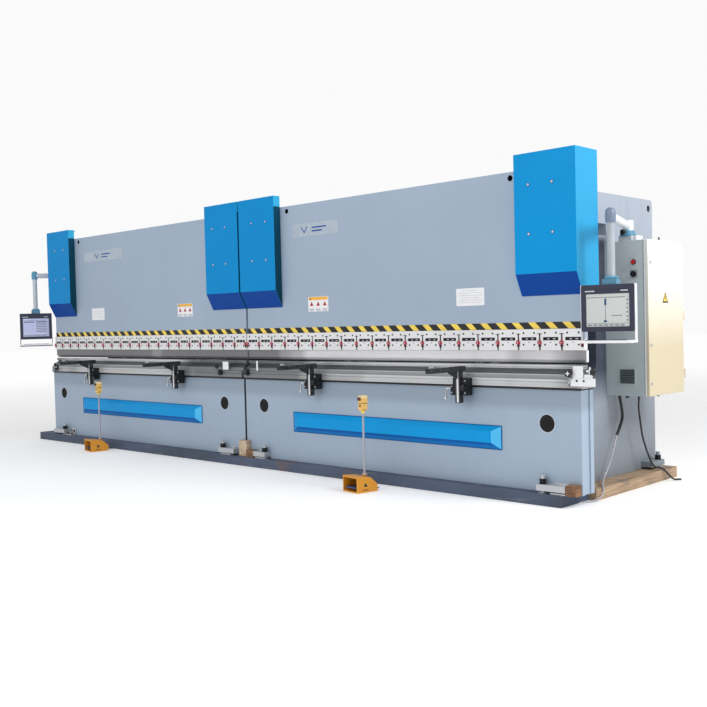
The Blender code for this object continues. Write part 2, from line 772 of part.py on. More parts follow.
def place_turned(name, material, shapes, axis, station):
    """A piece drawn square to its station, then swung round with the station's turn."""
    offset = Vector(axis) - Vector(station)
    offset.rotate(Matrix.Rotation(STATION_TURN, 3, "Z"))
    made = solid(name, material, shapes, pivot=axis, turn=STATION_TURN)
    made.location = Vector(station) + offset
    for modifier in made.modifiers:
        for helper in modifier.collection.objects:
            helper.location = made.location


# ---------------------------------------------------------------- assembly
def make_machine(side, centre, first_number, colours):
    make_table(side, centre, colours)
    make_die_bed(side, centre, colours)
    make_die(side, centre, colours)
    make_tank(side, centre, colours)
    make_pump_motor(side, centre, colours)
    make_ram(side, centre, colours)
    make_clamp_row(side, centre, colours)
    make_punch(side, centre, colours)
    make_gauge_base(side, centre, colours)
    make_gauge_beam(side, centre, colours)
    for step, end in enumerate((-1, 1)):
        number = first_number + step
        make_cylinder(number, centre + end * CYLINDER_OFFSET, colours)
        make_cover(number, centre, end, colours)
        make_finger(f"gauge_finger_{number}", centre + end * FINGER_OFFSET, colours)
        make_support(number, centre + end * SUPPORT_OFFSET, colours)


def main():
    for found in list(bpy.data.objects):
        bpy.data.objects.remove(found)
    colours = make_materials()
    make_base(colours)
    for first_number, (side, centre) in zip((1, 3), MACHINES.items()):
        make_machine(side, centre, first_number, colours)
    left, right = MACHINES["left"], MACHINES["right"]
    bracket = PENDANTS["left"]["pivot"]
    make_side_frame("side_frame_1", left, -1, colours, bracket)
    make_side_frame("side_frame_2", left, 1, colours)
    make_side_frame("side_frame_3", right, -1, colours)
    make_side_frame("side_frame_4", right, 1, colours)
    make_cabinet(colours)
    for side in MACHINES:
        make_pendant(side, colours)
        make_station(side, colours)


main()
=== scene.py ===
"""Looks of a tandem press brake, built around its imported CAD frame.

The CAD nodes stay where they are and get worn paint, steel, timber and plastic. Trim,
fasteners, labels, screens, cables and pipes are added as pieces that ride on CAD bodies.
Units are metres, +Z is up, and the operator stands on the -Y side.
"""

import json
import math

import bmesh
import bpy
from mathutils import Matrix, Vector


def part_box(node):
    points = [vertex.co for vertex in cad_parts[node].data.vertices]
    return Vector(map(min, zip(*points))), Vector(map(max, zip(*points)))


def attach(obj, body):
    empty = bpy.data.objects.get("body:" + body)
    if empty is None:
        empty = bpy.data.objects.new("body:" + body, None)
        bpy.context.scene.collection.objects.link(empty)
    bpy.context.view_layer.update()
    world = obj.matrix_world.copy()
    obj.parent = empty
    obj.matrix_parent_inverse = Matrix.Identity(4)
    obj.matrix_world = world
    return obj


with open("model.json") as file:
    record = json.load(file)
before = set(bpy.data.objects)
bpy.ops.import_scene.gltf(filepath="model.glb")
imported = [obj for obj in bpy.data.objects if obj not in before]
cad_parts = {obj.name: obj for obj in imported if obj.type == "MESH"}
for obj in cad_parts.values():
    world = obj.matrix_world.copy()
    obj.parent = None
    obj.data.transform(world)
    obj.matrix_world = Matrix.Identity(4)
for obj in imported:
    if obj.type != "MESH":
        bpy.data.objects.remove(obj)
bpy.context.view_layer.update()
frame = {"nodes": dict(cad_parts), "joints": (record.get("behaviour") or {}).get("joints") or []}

SIDES = ("left", "right")
ENDS = (-1, 1)
JOINTS = {joint["name"]: joint for joint in frame["joints"]}
SKIN = 0.0008  # how far a sticker or thin plate stands proud of its face
HAIR = 0.0004  # clearance behind a piece that lies on a face

RAM_FACE = 0.0  # front of both rams
TABLE_FACE = -0.055  # front of both tables
RAIL_LOW = 0.924  # underside of the slotted rail
TOOL_Y = 0.03  # line of the punches, dies and cylinders
CLAMPS = 20
CLAMP_PITCH = 0.200
PANEL_TURN = {"left": math.radians(60), "right": math.radians(7)}
STRIPES = {"left": (0.1587, 0.30), "right": (0.1565, 0.40)}  # pitch, and share of it cut off
CAMERA = {
    "location": (7.697, -6.453, 1.4635),
    "yaw": math.radians(43.648),
    "pitch": math.radians(-1.837),
    "roll": math.radians(-1.443),
    "lens": 48.05,
}


# ---------------------------------------------------------------- colours and node graphs
def srgb(red, green, blue):
    """A display colour, 0 to 255 a channel, as linear values."""
    channels = [value / 255 for value in (red, green, blue)]
    return tuple(c / 12.92 if c <= 0.04045 else ((c + 0.055) / 1.055) ** 2.4 for c in channels)


def shade(colour, factor):
    return tuple(min(1.0, channel * factor) for channel in colour)


class Graph:
    """The node graph of one material, with a short call for each kind of node used here."""

    def __init__(self, name):
        self.material = bpy.data.materials.new(name)
        self.material.use_nodes = True
        self.tree = self.material.node_tree
        self.shader = self.tree.nodes["Principled BSDF"]

    def put(self, socket, value):
        if isinstance(value, bpy.types.NodeSocket):
            self.tree.links.new(value, socket)
        elif isinstance(value, tuple) and socket.type == "RGBA":
            socket.default_value = (*value, 1.0)
        else:
            socket.default_value = value

    def add(self, kind, inputs=None, **settings):
        made = self.tree.nodes.new(kind)
        for key, value in settings.items():
            setattr(made, key, value)
        for key, value in (inputs or {}).items():
            self.put(made.inputs[key], value)
        return made

    def coordinates(self, stretch=(1, 1, 1)):
        """Rest coordinates in metres, which stay with the piece when it moves."""
        where = self.add("ShaderNodeTexCoord").outputs["Object"]
        return self.add("ShaderNodeMapping", {"Vector": where, "Scale": stretch}).outputs[0]

    def axis(self, letter):
        split = self.add("ShaderNodeSeparateXYZ", {"Vector": self.coordinates()})
        return split.outputs[letter]

    def noise(self, scale, stretch=(1, 1, 1), detail=3.0):
        inputs = {"Vector": self.coordinates(stretch), "Scale": scale, "Detail": detail}
        return self.add("ShaderNodeTexNoise", inputs).outputs[0]

    def band(self, value, low, high, first=0.0, last=1.0):
        """Maps the range low to high of a value onto first to last, and holds the ends."""
        inputs = {0: value, 1: low, 2: high, 3: first, 4: last}
        return self.add("ShaderNodeMapRange", inputs).outputs[0]

    def maths(self, operation, first, second=0.0):
        return self.add("ShaderNodeMath", {0: first, 1: second}, operation=operation).outputs[0]

    def blend(self, factor, first, second):
        inputs = {0: factor, 6: first, 7: second}
        return self.add("ShaderNodeMix", inputs, data_type="RGBA").outputs[2]

    def within(self, letter, low, high, soft=0.0005):
        """1 between two levels on an axis, and 0 outside them."""
        level = self.axis(letter)
        above = self.band(level, low - soft, low + soft)
        below = self.band(level, high - soft, high + soft, 1.0, 0.0)
        return self.maths("MULTIPLY", above, below)

    def facing(self, letter, low, high):
        """0 to 1 as the surface turns towards an axis, between two values of its normal."""
        normal = self.add("ShaderNodeNewGeometry").outputs["True Normal"]
        split = self.add("ShaderNodeSeparateXYZ", {"Vector": normal})
        return self.band(split.outputs[letter], low, high)

    def wave(self, start, length):
        """A slow swing between 0 and 1 along X, at its brightest at start."""
        phase = self.maths("MULTIPLY", self.maths("SUBTRACT", self.axis("X"), start), 2 * math.pi / length)
        return self.band(self.maths("COSINE", phase), -1.0, 1.0)

    def edge(self, radius=0.003):
        """1 along a piece's edges, and 0 on its faces."""
        round_normal = self.add("ShaderNodeBevel", {"Radius": radius}, samples=4).outputs[0]
        normal = self.add("ShaderNodeNewGeometry").outputs["Normal"]
        both = {0: round_normal, 1: normal}
        turn = self.add("ShaderNodeVectorMath", both, operation="DOT_PRODUCT").outputs["Value"]
        return self.band(turn, 0.99, 0.86)

    def finish(self, colour, roughness, metallic=0.0, bump=None, strength=0.1, **inputs):
        self.put(self.shader.inputs["Base Color"], colour)
        self.put(self.shader.inputs["Roughness"], roughness)
        self.put(self.shader.inputs["Metallic"], metallic)
        for key, value in inputs.items():
            self.put(self.shader.inputs[key.replace("_", " ")], value)
        if bump is not None:
            relief = {"Height": bump, "Strength": strength, "Distance": 0.001}
            normal = self.add("ShaderNodeBump", relief).outputs[0]
            self.put(self.shader.inputs["Normal"], normal)
        return self.material


# ---------------------------------------------------------------- materials
def paint_tone(graph, colour, mottle, grime, worn):
    """Paint with slow mottling, vertical streaks of grime and rubbed edges."""
    broad = graph.band(graph.noise(0.9, detail=2.0), 0.35, 0.65)
    tone = graph.blend(broad, shade(colour, 1 - mottle), shade(colour, 1 + mottle))
    streak = graph.band(graph.noise(1.0, (11, 11, 0.8), 4.0), 0.52, 0.78, 0.0, grime)
    tone = graph.blend(streak, tone, shade(colour, 0.70))
    rubbed = graph.maths("MULTIPLY", graph.edge(), graph.band(graph.noise(35), 0.45, 0.6))
    rubbed = graph.maths("MULTIPLY", rubbed, worn)
    return graph.blend(rubbed, tone, shade(colour, 1.7))


def paint(name, colour, roughness=0.38, mottle=0.03, grime=0.15, worn=0.5, sheen=0.5):
    graph = Graph(name)
    tone = paint_tone(graph, colour, mottle, grime, worn)
    gloss = graph.band(graph.noise(7), 0.3, 0.7, roughness - 0.05, roughness + 0.08)
    peel = graph.noise(240, detail=1.0)
    return graph.finish(tone, gloss, bump=peel, strength=0.06, Specular_IOR_Level=sheen)


def cover_paint(name, front, side, shoulder):
    """Bright cover paint with painted light on its +X cheeks: a painted highlight above the shoulder level, and below
    it the side colour, a paler painted highlight on the lit cover and a dark painted shade on the shaded ones.
    """
    graph = Graph(name)
    tone = paint_tone(graph, front, 0.03, 0.06, 0.2)
    cheek = graph.facing("X", 0.6, 0.8)
    light = graph.blend(graph.band(graph.axis("Z"), shoulder, shoulder + 0.01), side, srgb(60, 184, 232))
    # Painted shade: a soft, noisy darkening of the painted cheek colour.
    soft = graph.band(graph.noise(2.0, (1, 1, 0.5)), 0.3, 0.7, 0.0, 0.10)
    light = graph.blend(soft, light, shade(front, 0.8))
    tone = graph.blend(cheek, tone, light)
    gloss = graph.band(graph.noise(7), 0.3, 0.7, 0.34, 0.46)
    peel = graph.noise(240, detail=1.0)
    return graph.finish(tone, gloss, bump=peel, strength=0.05, Specular_IOR_Level=0.12)


def trim_paint(name, face, under, lip, end, levels):
    """Raised trim with painted light: painted shade in deep blue on its downward faces under the crown, paler towards
    the lower lip, and a painted highlight on the faces turned to +X.
    """
    graph = Graph(name)
    tone = paint_tone(graph, face, 0.03, 0.05, 0.2)
    lower, crown = levels
    # Painted shade on the downward faces, from the lip colour low down to the deep blue under the crown.
    below = graph.blend(graph.band(graph.axis("Z"), lower, crown), lip, under)
    tone = graph.blend(graph.facing("Z", -0.35, -0.55), tone, below)
    # Painted highlight on the faces turned towards +X.
    tone = graph.blend(graph.facing("X", 0.30, 0.42), tone, end)
    gloss = graph.band(graph.noise(7), 0.3, 0.7, 0.32, 0.42)
    peel = graph.noise(240, detail=1.0)
    return graph.finish(tone, gloss, bump=peel, strength=0.05, Specular_IOR_Level=0.15)


def frame_paint(name, upper, lower, throat):
    """Side-plate paint with painted light: lighter towards the top and greyer towards the floor, and painted shade
    round the throat.
    """
    graph = Graph(name)
    # Painted light: the colour fades from the upper tone to the lower tone towards the floor.
    height = graph.band(graph.axis("Z"), 0.3, 2.0)
    colour = graph.blend(height, lower, upper)
    # Painted shade round the throat, between the given levels and towards the front.
    painted_throat_shade = graph.maths("MULTIPLY", graph.band(graph.axis("Z"), 0.74, 1.02), graph.band(graph.axis("Y"), 0.84, 0.78))
    painted_throat_shade = graph.maths("MULTIPLY", painted_throat_shade, graph.band(graph.axis("Z"), 2.16, 2.10))
    colour = graph.blend(painted_throat_shade, colour, throat)
    streak = graph.band(graph.noise(1.0, (9, 9, 0.7), 4.0), 0.50, 0.80, 0.0, 0.22)
    tone = graph.blend(streak, colour, shade(lower, 0.72))
    scuff = graph.band(graph.noise(18, (1, 3, 0.4), 5.0), 0.66, 0.72, 0.0, 0.25)
    tone = graph.blend(scuff, tone, shade(upper, 1.15))
    peel = graph.noise(220, detail=1.0)
    gloss = graph.band(graph.noise(5), 0.3, 0.7, 0.38, 0.50)
    return graph.finish(tone, gloss, bump=peel, strength=0.07)


def base_paint(name, colour):
    """Dark beam paint with mill scale, scrapes and traces of rust."""
    graph = Graph(name)
    broad = graph.band(graph.noise(3.0, (0.4, 1, 1), 4.0), 0.35, 0.65)
    tone = graph.blend(broad, shade(colour, 0.75), shade(colour, 1.35))
    scrape = graph.band(graph.noise(9, (0.3, 1, 4), 6.0), 0.60, 0.68, 0.0, 0.55)
    tone = graph.blend(scrape, tone, srgb(120, 118, 120))
    rust = graph.band(graph.noise(2.1, detail=6.0), 0.62, 0.70, 0.0, 0.45)
    tone = graph.blend(rust, tone, srgb(112, 84, 66))
    edge = graph.maths("MULTIPLY", graph.edge(0.004), graph.band(graph.noise(14), 0.4, 0.6))
    tone = graph.blend(graph.maths("MULTIPLY", edge, 0.5), tone, srgb(150, 146, 142))
    gloss = graph.band(broad, 0.0, 1.0, 0.50, 0.72)
    return graph.finish(tone, gloss, bump=graph.noise(60, detail=5.0), strength=0.25)


def metal(name, colour, roughness=0.3, grain="X", contrast=0.12, metallic=0.9, relief=0.12):
    """Ground or brushed metal, its lines running along one axis."""
    graph = Graph(name)
    fine = {"X": (1.5, 260, 260), "Y": (260, 1.5, 260), "Z": (260, 260, 1.5)}[grain]
    lines = graph.noise(1.0, fine, 4.0)
    tone = graph.blend(
        graph.band(lines, 0.35, 0.65), shade(colour, 1 - contrast), shade(colour, 1 + contrast)
    )
    slow = graph.band(graph.noise(1.6, detail=2.0), 0.4, 0.65, 0.0, 0.35)
    tone = graph.blend(slow, tone, shade(colour, 0.78))
    gloss = graph.band(lines, 0.3, 0.7, roughness - 0.07, roughness + 0.10)
    return graph.finish(tone, gloss, metallic, bump=lines, strength=relief)


def reflective_steel(name, light, dark, bands=(), swing=(2.9, 5.3), fade=(-5.0, -4.5)):
    """Ground bar with a painted reflection, whose brightness swings along its length as a reflection on a long polished
    face does.

    Each band (low, high, colour, amount) is a level of the bar painted darker: the broad bands are painted shade on
    recessed and sloping levels, and the thin ones are dark lines.
    """
    graph = Graph(name)
    # Painted reflection: a slow swing of brightness along X, faded out below a given X, with some noise.
    painted_reflection = graph.maths("MULTIPLY", graph.wave(*swing), graph.band(graph.axis("X"), *fade))
    painted_reflection = graph.maths("ADD", painted_reflection, graph.band(graph.noise(1.0, (1.6, 0.4, 0.4), 2.0), 0.3, 0.7, -0.35, 0.35))
    lines = graph.noise(1.0, (1.2, 260, 420), 4.0)
    tone = graph.blend(graph.band(painted_reflection, 0.25, 0.75), dark, light)
    streak = graph.band(lines, 0.50, 0.70, 0.0, 0.30)
    tone = graph.blend(streak, tone, shade(dark, 0.75))
    for low, high, colour, amount in bands:
        inside = graph.maths("MULTIPLY", graph.within("Z", low, high, 0.001), amount)
        tone = graph.blend(inside, tone, colour)
    gloss = graph.band(lines, 0.3, 0.7, 0.30, 0.46)
    return graph.finish(tone, gloss, 0.35, bump=lines, strength=0.08)


def black_metal(name, colour=srgb(34, 35, 38), roughness=0.42):
    """Oil-blackened steel with bright rubbed edges."""
    graph = Graph(name)
    patch = graph.band(graph.noise(22, detail=5.0), 0.35, 0.7)
    tone = graph.blend(patch, shade(colour, 0.7), shade(colour, 1.5))
    bright = graph.maths("MULTIPLY", graph.edge(0.0015), graph.band(graph.noise(60), 0.4, 0.6))
    tone = graph.blend(graph.maths("MULTIPLY", bright, 0.6), tone, srgb(150, 150, 152))
    gloss = graph.band(patch, 0.0, 1.0, roughness - 0.1, roughness + 0.12)
    return graph.finish(tone, gloss, 0.6, bump=graph.noise(300, detail=2.0), strength=0.12)


def timber(name, light, dark):
    """Sawn softwood: long grain, broad rings, knots and trodden-in dirt."""
    graph = Graph(name)
    grain = graph.noise(1.0, (90, 3.2, 90), 6.0)
    rings = graph.noise(1.0, (16, 0.8, 22), 3.0)
    tone = graph.blend(graph.band(grain, 0.35, 0.65), dark, light)
    tone = graph.blend(graph.band(rings, 0.52, 0.60, 0.0, 0.55), tone, shade(dark, 0.8))
    dirt = graph.band(graph.noise(3.5, (1, 1.4, 2.5), 5.0), 0.52, 0.66, 0.0, 0.6)
    tone = graph.blend(dirt, tone, srgb(110, 102, 100))
    return graph.finish(tone, 0.82, bump=grain, strength=0.55)


def plastic(name, colour, roughness=0.42, texture=700, speckle=0.06, relief=0.08):
    graph = Graph(name)
    cloud = graph.band(graph.noise(9), 0.35, 0.65)
    tone = graph.blend(cloud, shade(colour, 1 - speckle), shade(colour, 1 + speckle))
    gloss = graph.band(graph.noise(30), 0.3, 0.7, roughness - 0.06, roughness + 0.08)
    return graph.finish(tone, gloss, bump=graph.noise(texture, detail=1.0), strength=relief)


def rubber(name, colour=srgb(26, 27, 30)):
    graph = Graph(name)
    bloom = graph.band(graph.noise(25, detail=4.0), 0.45, 0.7, 0.0, 0.35)
    tone = graph.blend(bloom, colour, srgb(78, 80, 86))
    return graph.finish(tone, 0.62, bump=graph.noise(500), strength=0.25)


def braid(name, light, dark):
    """Woven cable sleeve, its light and dark strands crossing."""
    graph = Graph(name)
    weave = {"Vector": graph.coordinates((1, 1, 1.6)), "Scale": 55.0, "Distortion": 1.2}
    strands = graph.add("ShaderNodeTexWave", weave, bands_direction="DIAGONAL").outputs[1]
    tone = graph.blend(graph.band(strands, 0.35, 0.65), dark, light)
    return graph.finish(tone, 0.5, 0.2, bump=strands, strength=0.6)


def screen(name, colour, glow=0.35):
    """Lit display with a faint pixel grid."""
    graph = Graph(name)
    grid = graph.band(graph.noise(900, detail=1.0), 0.3, 0.7)
    tone = graph.blend(grid, shade(colour, 0.96), shade(colour, 1.03))
    return graph.finish(tone, 0.16, Emission_Color=tone, Emission_Strength=glow)


def ram_finish(colour, chrome, shoulder, inner, outer_note):
    """Ram paint on the plate, and hard chrome on the piston rods above its shoulders."""
    graph = Graph("ram_paint_and_chrome")
    tone = paint_tone(graph, colour, 0.025, 0.08, outer_note)
    side = graph.maths("ABSOLUTE", graph.maths("SUBTRACT", graph.maths("ABSOLUTE", graph.axis("X")), inner))
    rod = graph.maths("MULTIPLY", graph.band(graph.axis("Z"), shoulder, shoulder + 0.002), 1.0)
    rod = graph.maths("MULTIPLY", rod, graph.maths("GREATER_THAN", side, 1.53))
    tone = graph.blend(rod, tone, chrome)
    gloss = graph.band(rod, 0.0, 1.0, 0.40, 0.14)
    return graph.finish(tone, gloss, rod, bump=graph.noise(240, detail=1.0), strength=0.05)


def table_finish(colour, zinc, front):
    """Table paint with a painted shadow under the rail and a painted dark shadow line along its top, and bare zinc on
    the lugs in front of its face.
    """
    graph = Graph("table_paint_and_zinc")
    tone = paint_tone(graph, colour, 0.025, 0.12, 0.4)
    # Painted shadow of the rail over the top of the table face.
    painted_rail_shadow = graph.band(graph.axis("Z"), 0.715, 0.785, 0.0, 0.85)
    tone = graph.blend(painted_rail_shadow, tone, shade(colour, 0.74))
    # Painted shadow: a near-black line along the top edge, under the rail.
    tone = graph.blend(graph.band(graph.axis("Z"), 0.9030, 0.9040), tone, srgb(18, 18, 22))
    lug = graph.band(graph.axis("Y"), front - 0.002, front - 0.003)
    tone = graph.blend(lug, tone, zinc)
    gloss = graph.band(lug, 0.0, 1.0, 0.40, 0.33)
    metallic = graph.maths("MULTIPLY", lug, 0.6)
    return graph.finish(tone, gloss, metallic, bump=graph.noise(240, detail=1.0), strength=0.06)


def pendant_finish(side, shell, cheek, post, head, turn):
    """Tray, dark housing, cheeks, collar and post of one pendant, told apart by position."""
    graph = Graph(f"pendant_housing_{side}")
    height = graph.axis("Z")
    east = graph.maths("MULTIPLY", graph.maths("SUBTRACT", graph.axis("X"), head.x), math.cos(turn))
    north = graph.maths("MULTIPLY", graph.maths("SUBTRACT", graph.axis("Y"), head.y), math.sin(turn))
    across = graph.maths("ABSOLUTE", graph.maths("ADD", east, north))
    tone = graph.blend(graph.band(across, 0.1990, 0.1996), shell, cheek)
    tone = graph.blend(graph.band(height, 1.2915, 1.2925, 1.0, 0.0), tone, srgb(244, 245, 249))
    tone = graph.blend(graph.band(height, 1.7035, 1.7045), tone, srgb(84, 144, 172))
    tone = graph.blend(graph.band(height, 1.7455, 1.7465), tone, post)
    cloud = graph.band(graph.noise(12), 0.4, 0.7, 0.0, 0.10)
    tone = graph.blend(cloud, tone, srgb(40, 42, 50))
    return graph.finish(tone, 0.40, bump=graph.noise(500, detail=1.0), strength=0.07)


def door_finish():
    """Door paint with painted light: near white at the top, fading to a darker cream towards the floor."""
    graph = Graph("door_paint")
    height = graph.band(graph.axis("Z"), 1.20, 1.95)
    colour = graph.blend(height, srgb(208, 196, 166), srgb(246, 245, 238))
    streak = graph.band(graph.noise(1.0, (9, 9, 0.7), 4.0), 0.50, 0.80, 0.0, 0.10)
    tone = graph.blend(streak, colour, srgb(196, 186, 160))
    gloss = graph.band(graph.noise(5), 0.3, 0.7, 0.40, 0.52)
    return graph.finish(tone, gloss, bump=graph.noise(240, detail=1.0), strength=0.06)


def cabinet_finish():
    """Cabinet paint, paler towards the top as painted light."""
    graph = Graph("cabinet_grey")
    height = graph.band(graph.axis("Z"), 0.85, 2.05)
    colour = graph.blend(height, srgb(176, 186, 188), srgb(206, 217, 219))
    streak = graph.band(graph.noise(1.0, (11, 11, 0.8), 4.0), 0.52, 0.78, 0.0, 0.10)
    tone = graph.blend(streak, colour, srgb(150, 158, 162))
    rubbed = graph.maths("MULTIPLY", graph.edge(), graph.band(graph.noise(35), 0.45, 0.6, 0.0, 0.5))
    tone = graph.blend(rubbed, tone, srgb(224, 230, 232))
    gloss = graph.band(graph.noise(7), 0.3, 0.7, 0.37, 0.50)
    return graph.finish(tone, gloss, bump=graph.noise(240, detail=1.0), strength=0.06)


def station_finish(hood, tube, box, cap, levels):
    """Orange hood, zinc post, yellow stop box and its paler cap, split by height."""
    graph = Graph("foot_station")
    height = graph.axis("Z")
    hood_top, box_bottom, cap_bottom = levels
    post = graph.band(height, hood_top, hood_top + 0.001)
    body = graph.band(height, box_bottom, box_bottom + 0.001)
    top = graph.band(height, cap_bottom, cap_bottom + 0.001)
    tone = graph.blend(post, hood, tube)
    tone = graph.blend(body, tone, box)
    tone = graph.blend(top, tone, cap)
    scuff = graph.band(graph.noise(45, detail=6.0), 0.60, 0.70, 0.0, 0.30)
    tone = graph.blend(scuff, tone, shade(hood, 0.55))
    rubbed = graph.maths("MULTIPLY", graph.edge(0.002), 0.35)
    tone = graph.blend(rubbed, tone, srgb(236, 200, 140))
    metallic = graph.maths("MULTIPLY", graph.maths("SUBTRACT", post, body), 0.7)
    return graph.finish(tone, 0.40, metallic, bump=graph.noise(350), strength=0.10)


def pendant_head(side):
    """Where the line of a pendant's turn joint meets the floor."""
    joint = JOINTS[f"pendant_panel_{side}_turn"]
    return Vector((joint["pos_m"][0], joint["pos_m"][1], 0.0))


def machine_paints():
    """Paints and finishes of the large painted parts."""
    blue_grey = srgb(158, 175, 194)
    centre = middle(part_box("ram_right")).x
    station_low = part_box("foot_switch_right")[0].z
    bezel_dark = srgb(44, 48, 70)
    levels = (station_low + 0.1425, station_low + 0.699, station_low + 0.806)
    return {
        "ram": ram_finish(blue_grey, srgb(205, 207, 210), 1.7455, centre, 0.4),
        "table": table_finish(blue_grey, srgb(188, 190, 194), TABLE_FACE),
        "frame": frame_paint("frame_paint", srgb(164, 172, 186), srgb(128, 136, 146), srgb(62, 68, 82)),
        "tank": paint("tank_paint", srgb(150, 160, 174), 0.42, grime=0.3),
        "blue": paint("bright_blue", srgb(4, 142, 206), 0.40, 0.03, 0.06, 0.25, sheen=0.12),
        # Lit and shaded copies of one cover paint: cover 4's +X cheek gets a painted highlight; the other covers' +X
        # cheeks get painted shade below the ram's top and a painted highlight above it.
        "cover_lit": cover_paint("cover_blue_lit", srgb(3, 146, 212), srgb(50, 156, 204), 9.0),
        "cover_shaded": cover_paint("cover_blue_shaded", srgb(4, 136, 202), srgb(8, 58, 76), 2.655),
        "chin_blue": paint("deep_blue", srgb(4, 66, 150), 0.42, 0.03, 0.06, 0.15, sheen=0.12),
        "trim": trim_paint(
            "trim_blue", srgb(4, 150, 218), srgb(4, 92, 174), srgb(26, 122, 198),
            srgb(84, 192, 244), (0.414, 0.440),
        ),
        "trim_edge": paint("trim_edge_blue", srgb(12, 88, 150), 0.42, 0.03, 0.05, 0.1, sheen=0.12),
        "base": base_paint("base_beam", srgb(66, 78, 98)),
        "cabinet": cabinet_finish(),
        "seam": paint("cabinet_seam", srgb(96, 106, 112), 0.5, 0.03, 0.1, 0.2),
        "door": door_finish(),
        "white": paint("white_powder", srgb(234, 235, 237), 0.38, 0.02, 0.05, 0.2),
        "tube_left": paint("left_tube_paint", srgb(192, 200, 208), 0.34, 0.02, 0.06, 0.3),
        # The right arm's paler tone is a painted highlight on the same tube paint as the left arm.
        "tube_right": paint("right_tube_paint_painted_highlight", srgb(232, 235, 239), 0.34, 0.02, 0.06, 0.3),
        "tube": paint("tube_paint", srgb(192, 200, 208), 0.34, 0.02, 0.06, 0.3),
        # The grey-blue elbow colour is the pale tube paint in painted shade.
        "elbow": paint("elbow_paint_painted_shade", srgb(112, 127, 148), 0.34, 0.04, 0.08, 0.3),
        "teal": paint("teal_casting", srgb(84, 144, 172), 0.40, 0.06, 0.15, 0.5),
        "pendant_left": pendant_finish(
            "left", bezel_dark, bezel_dark, srgb(196, 204, 212), pendant_head("left"), PANEL_TURN["left"]
        ),
        # The right post's darker grey (166, 174, 181) is painted shade on the pale tube paint.
        "pendant_right": pendant_finish(
            "right", bezel_dark, srgb(214, 217, 226), srgb(166, 174, 181), pendant_head("right"), PANEL_TURN["right"]
        ),
        "station": station_finish(
            srgb(219, 148, 34), srgb(178, 180, 188), srgb(236, 190, 104), srgb(240, 214, 160), levels
        ),
    }


def metal_materials():
    shade_grey = srgb(66, 70, 75)
    return {
        "steel": metal("ground_steel", srgb(176, 178, 180), 0.30, "X", 0.10),
        # The broad bands below are painted shade on the bed, die and punch; the thin ones are dark lines.
        "bed": reflective_steel("bed_steel", srgb(206, 207, 208), srgb(126, 129, 132), (
            (1.0235, 1.060, shade_grey, 0.85),
            (0.9885, 1.018, srgb(128, 132, 136), 0.75),
            (0.9435, 0.9455, srgb(120, 122, 126), 0.7),
            (0.932, 0.9335, srgb(126, 128, 132), 0.7),
        )),
        "die": reflective_steel("die_steel", srgb(216, 217, 219), srgb(110, 112, 116), (
            (1.040, 1.064, shade_grey, 0.88),
            (1.076, 1.080, srgb(90, 93, 97), 0.8),
            (1.0945, 1.100, srgb(84, 88, 92), 0.6),
        )),
        "punch": reflective_steel("punch_steel", srgb(226, 226, 228), srgb(126, 126, 129), (
            (1.100, 1.1165, shade_grey, 0.75),
        ), (2.45, 6.4), (-0.4, 0.2)),
        "clamp": metal("clamp_nickel", srgb(230, 230, 232), 0.36, "Z", 0.04, 0.10, 0.05),
        "zinc": metal("zinc_plate", srgb(200, 202, 206), 0.34, "X", 0.08, 0.55),
        "chrome": metal("bright_chrome", srgb(222, 224, 227), 0.16, "Z", 0.03, 1.0, 0.03),
        "black": black_metal("blackened_steel"),
        "arm": black_metal("arm_steel", srgb(66, 68, 70), 0.36),
        "screw": black_metal("black_screws", srgb(20, 20, 22), 0.36),
        "copper": metal("copper_bar", srgb(190, 120, 84), 0.3, "Z", 0.08),
    }


def soft_materials():
    """Timber, plastics, cable sleeves, printed plates and displays."""
    return {
        "timber": timber("sawn_timber", srgb(190, 164, 134), srgb(143, 119, 96)),
        "block": timber("packing_wood", srgb(150, 110, 80), srgb(92, 66, 48)),
        "pale_block": timber("pale_packing_wood", srgb(214, 194, 166), srgb(178, 156, 130)),
        "bezel": plastic("bezel_plastic", srgb(42, 45, 66), 0.36),
        "pedal": plastic("pedal_plastic", srgb(66, 74, 118), 0.5, 400),
        "red": plastic("signal_red", srgb(206, 44, 40), 0.30, 900),
        "knob_red": plastic("knob_red", srgb(178, 46, 66), 0.38, 600),
        "black_plastic": plastic("black_plastic", srgb(24, 25, 28), 0.42),
        "plug": plastic("plug_rubber", srgb(9, 9, 11), 0.8),
        "stop_red": plastic("stop_red", srgb(84, 38, 42), 0.45, 600),
        "rubber": rubber("cable_rubber"),
        "braid": braid("braided_sleeve", srgb(226, 226, 228), srgb(80, 82, 88)),
        "yellow": plastic("warning_yellow", srgb(240, 210, 88), 0.42, 500),
        "ink": plastic("printed_black", srgb(24, 22, 26), 0.45, 500),
        "sheet_white": plastic("label_white", srgb(236, 236, 239), 0.36, 500, 0.015),
        "label_orange": plastic("label_orange", srgb(238, 178, 70), 0.4, 500),
        "label_red": plastic("label_red", srgb(204, 70, 74), 0.4, 500),
        "label_grey": plastic("label_grey", srgb(168, 172, 182), 0.4, 500),
        "plate_grey": plastic("plate_grey", srgb(172, 184, 198), 0.4, 500),
        "screen_light": screen("screen_light", srgb(192, 195, 194), 0.12),
        "screen_lilac": screen("screen_lilac", srgb(186, 193, 228), 0.14),
        "screen_dark": screen("screen_dark", srgb(44, 78, 108), 0.10),
        "screen_line": screen("screen_line", srgb(130, 132, 140), 0.10),
        "oil_glass": plastic("oil_glass", srgb(196, 160, 70), 0.12, 900),
    }


# ---------------------------------------------------------------- shapes
def middle(box):
    return (box[0] + box[1]) / 2


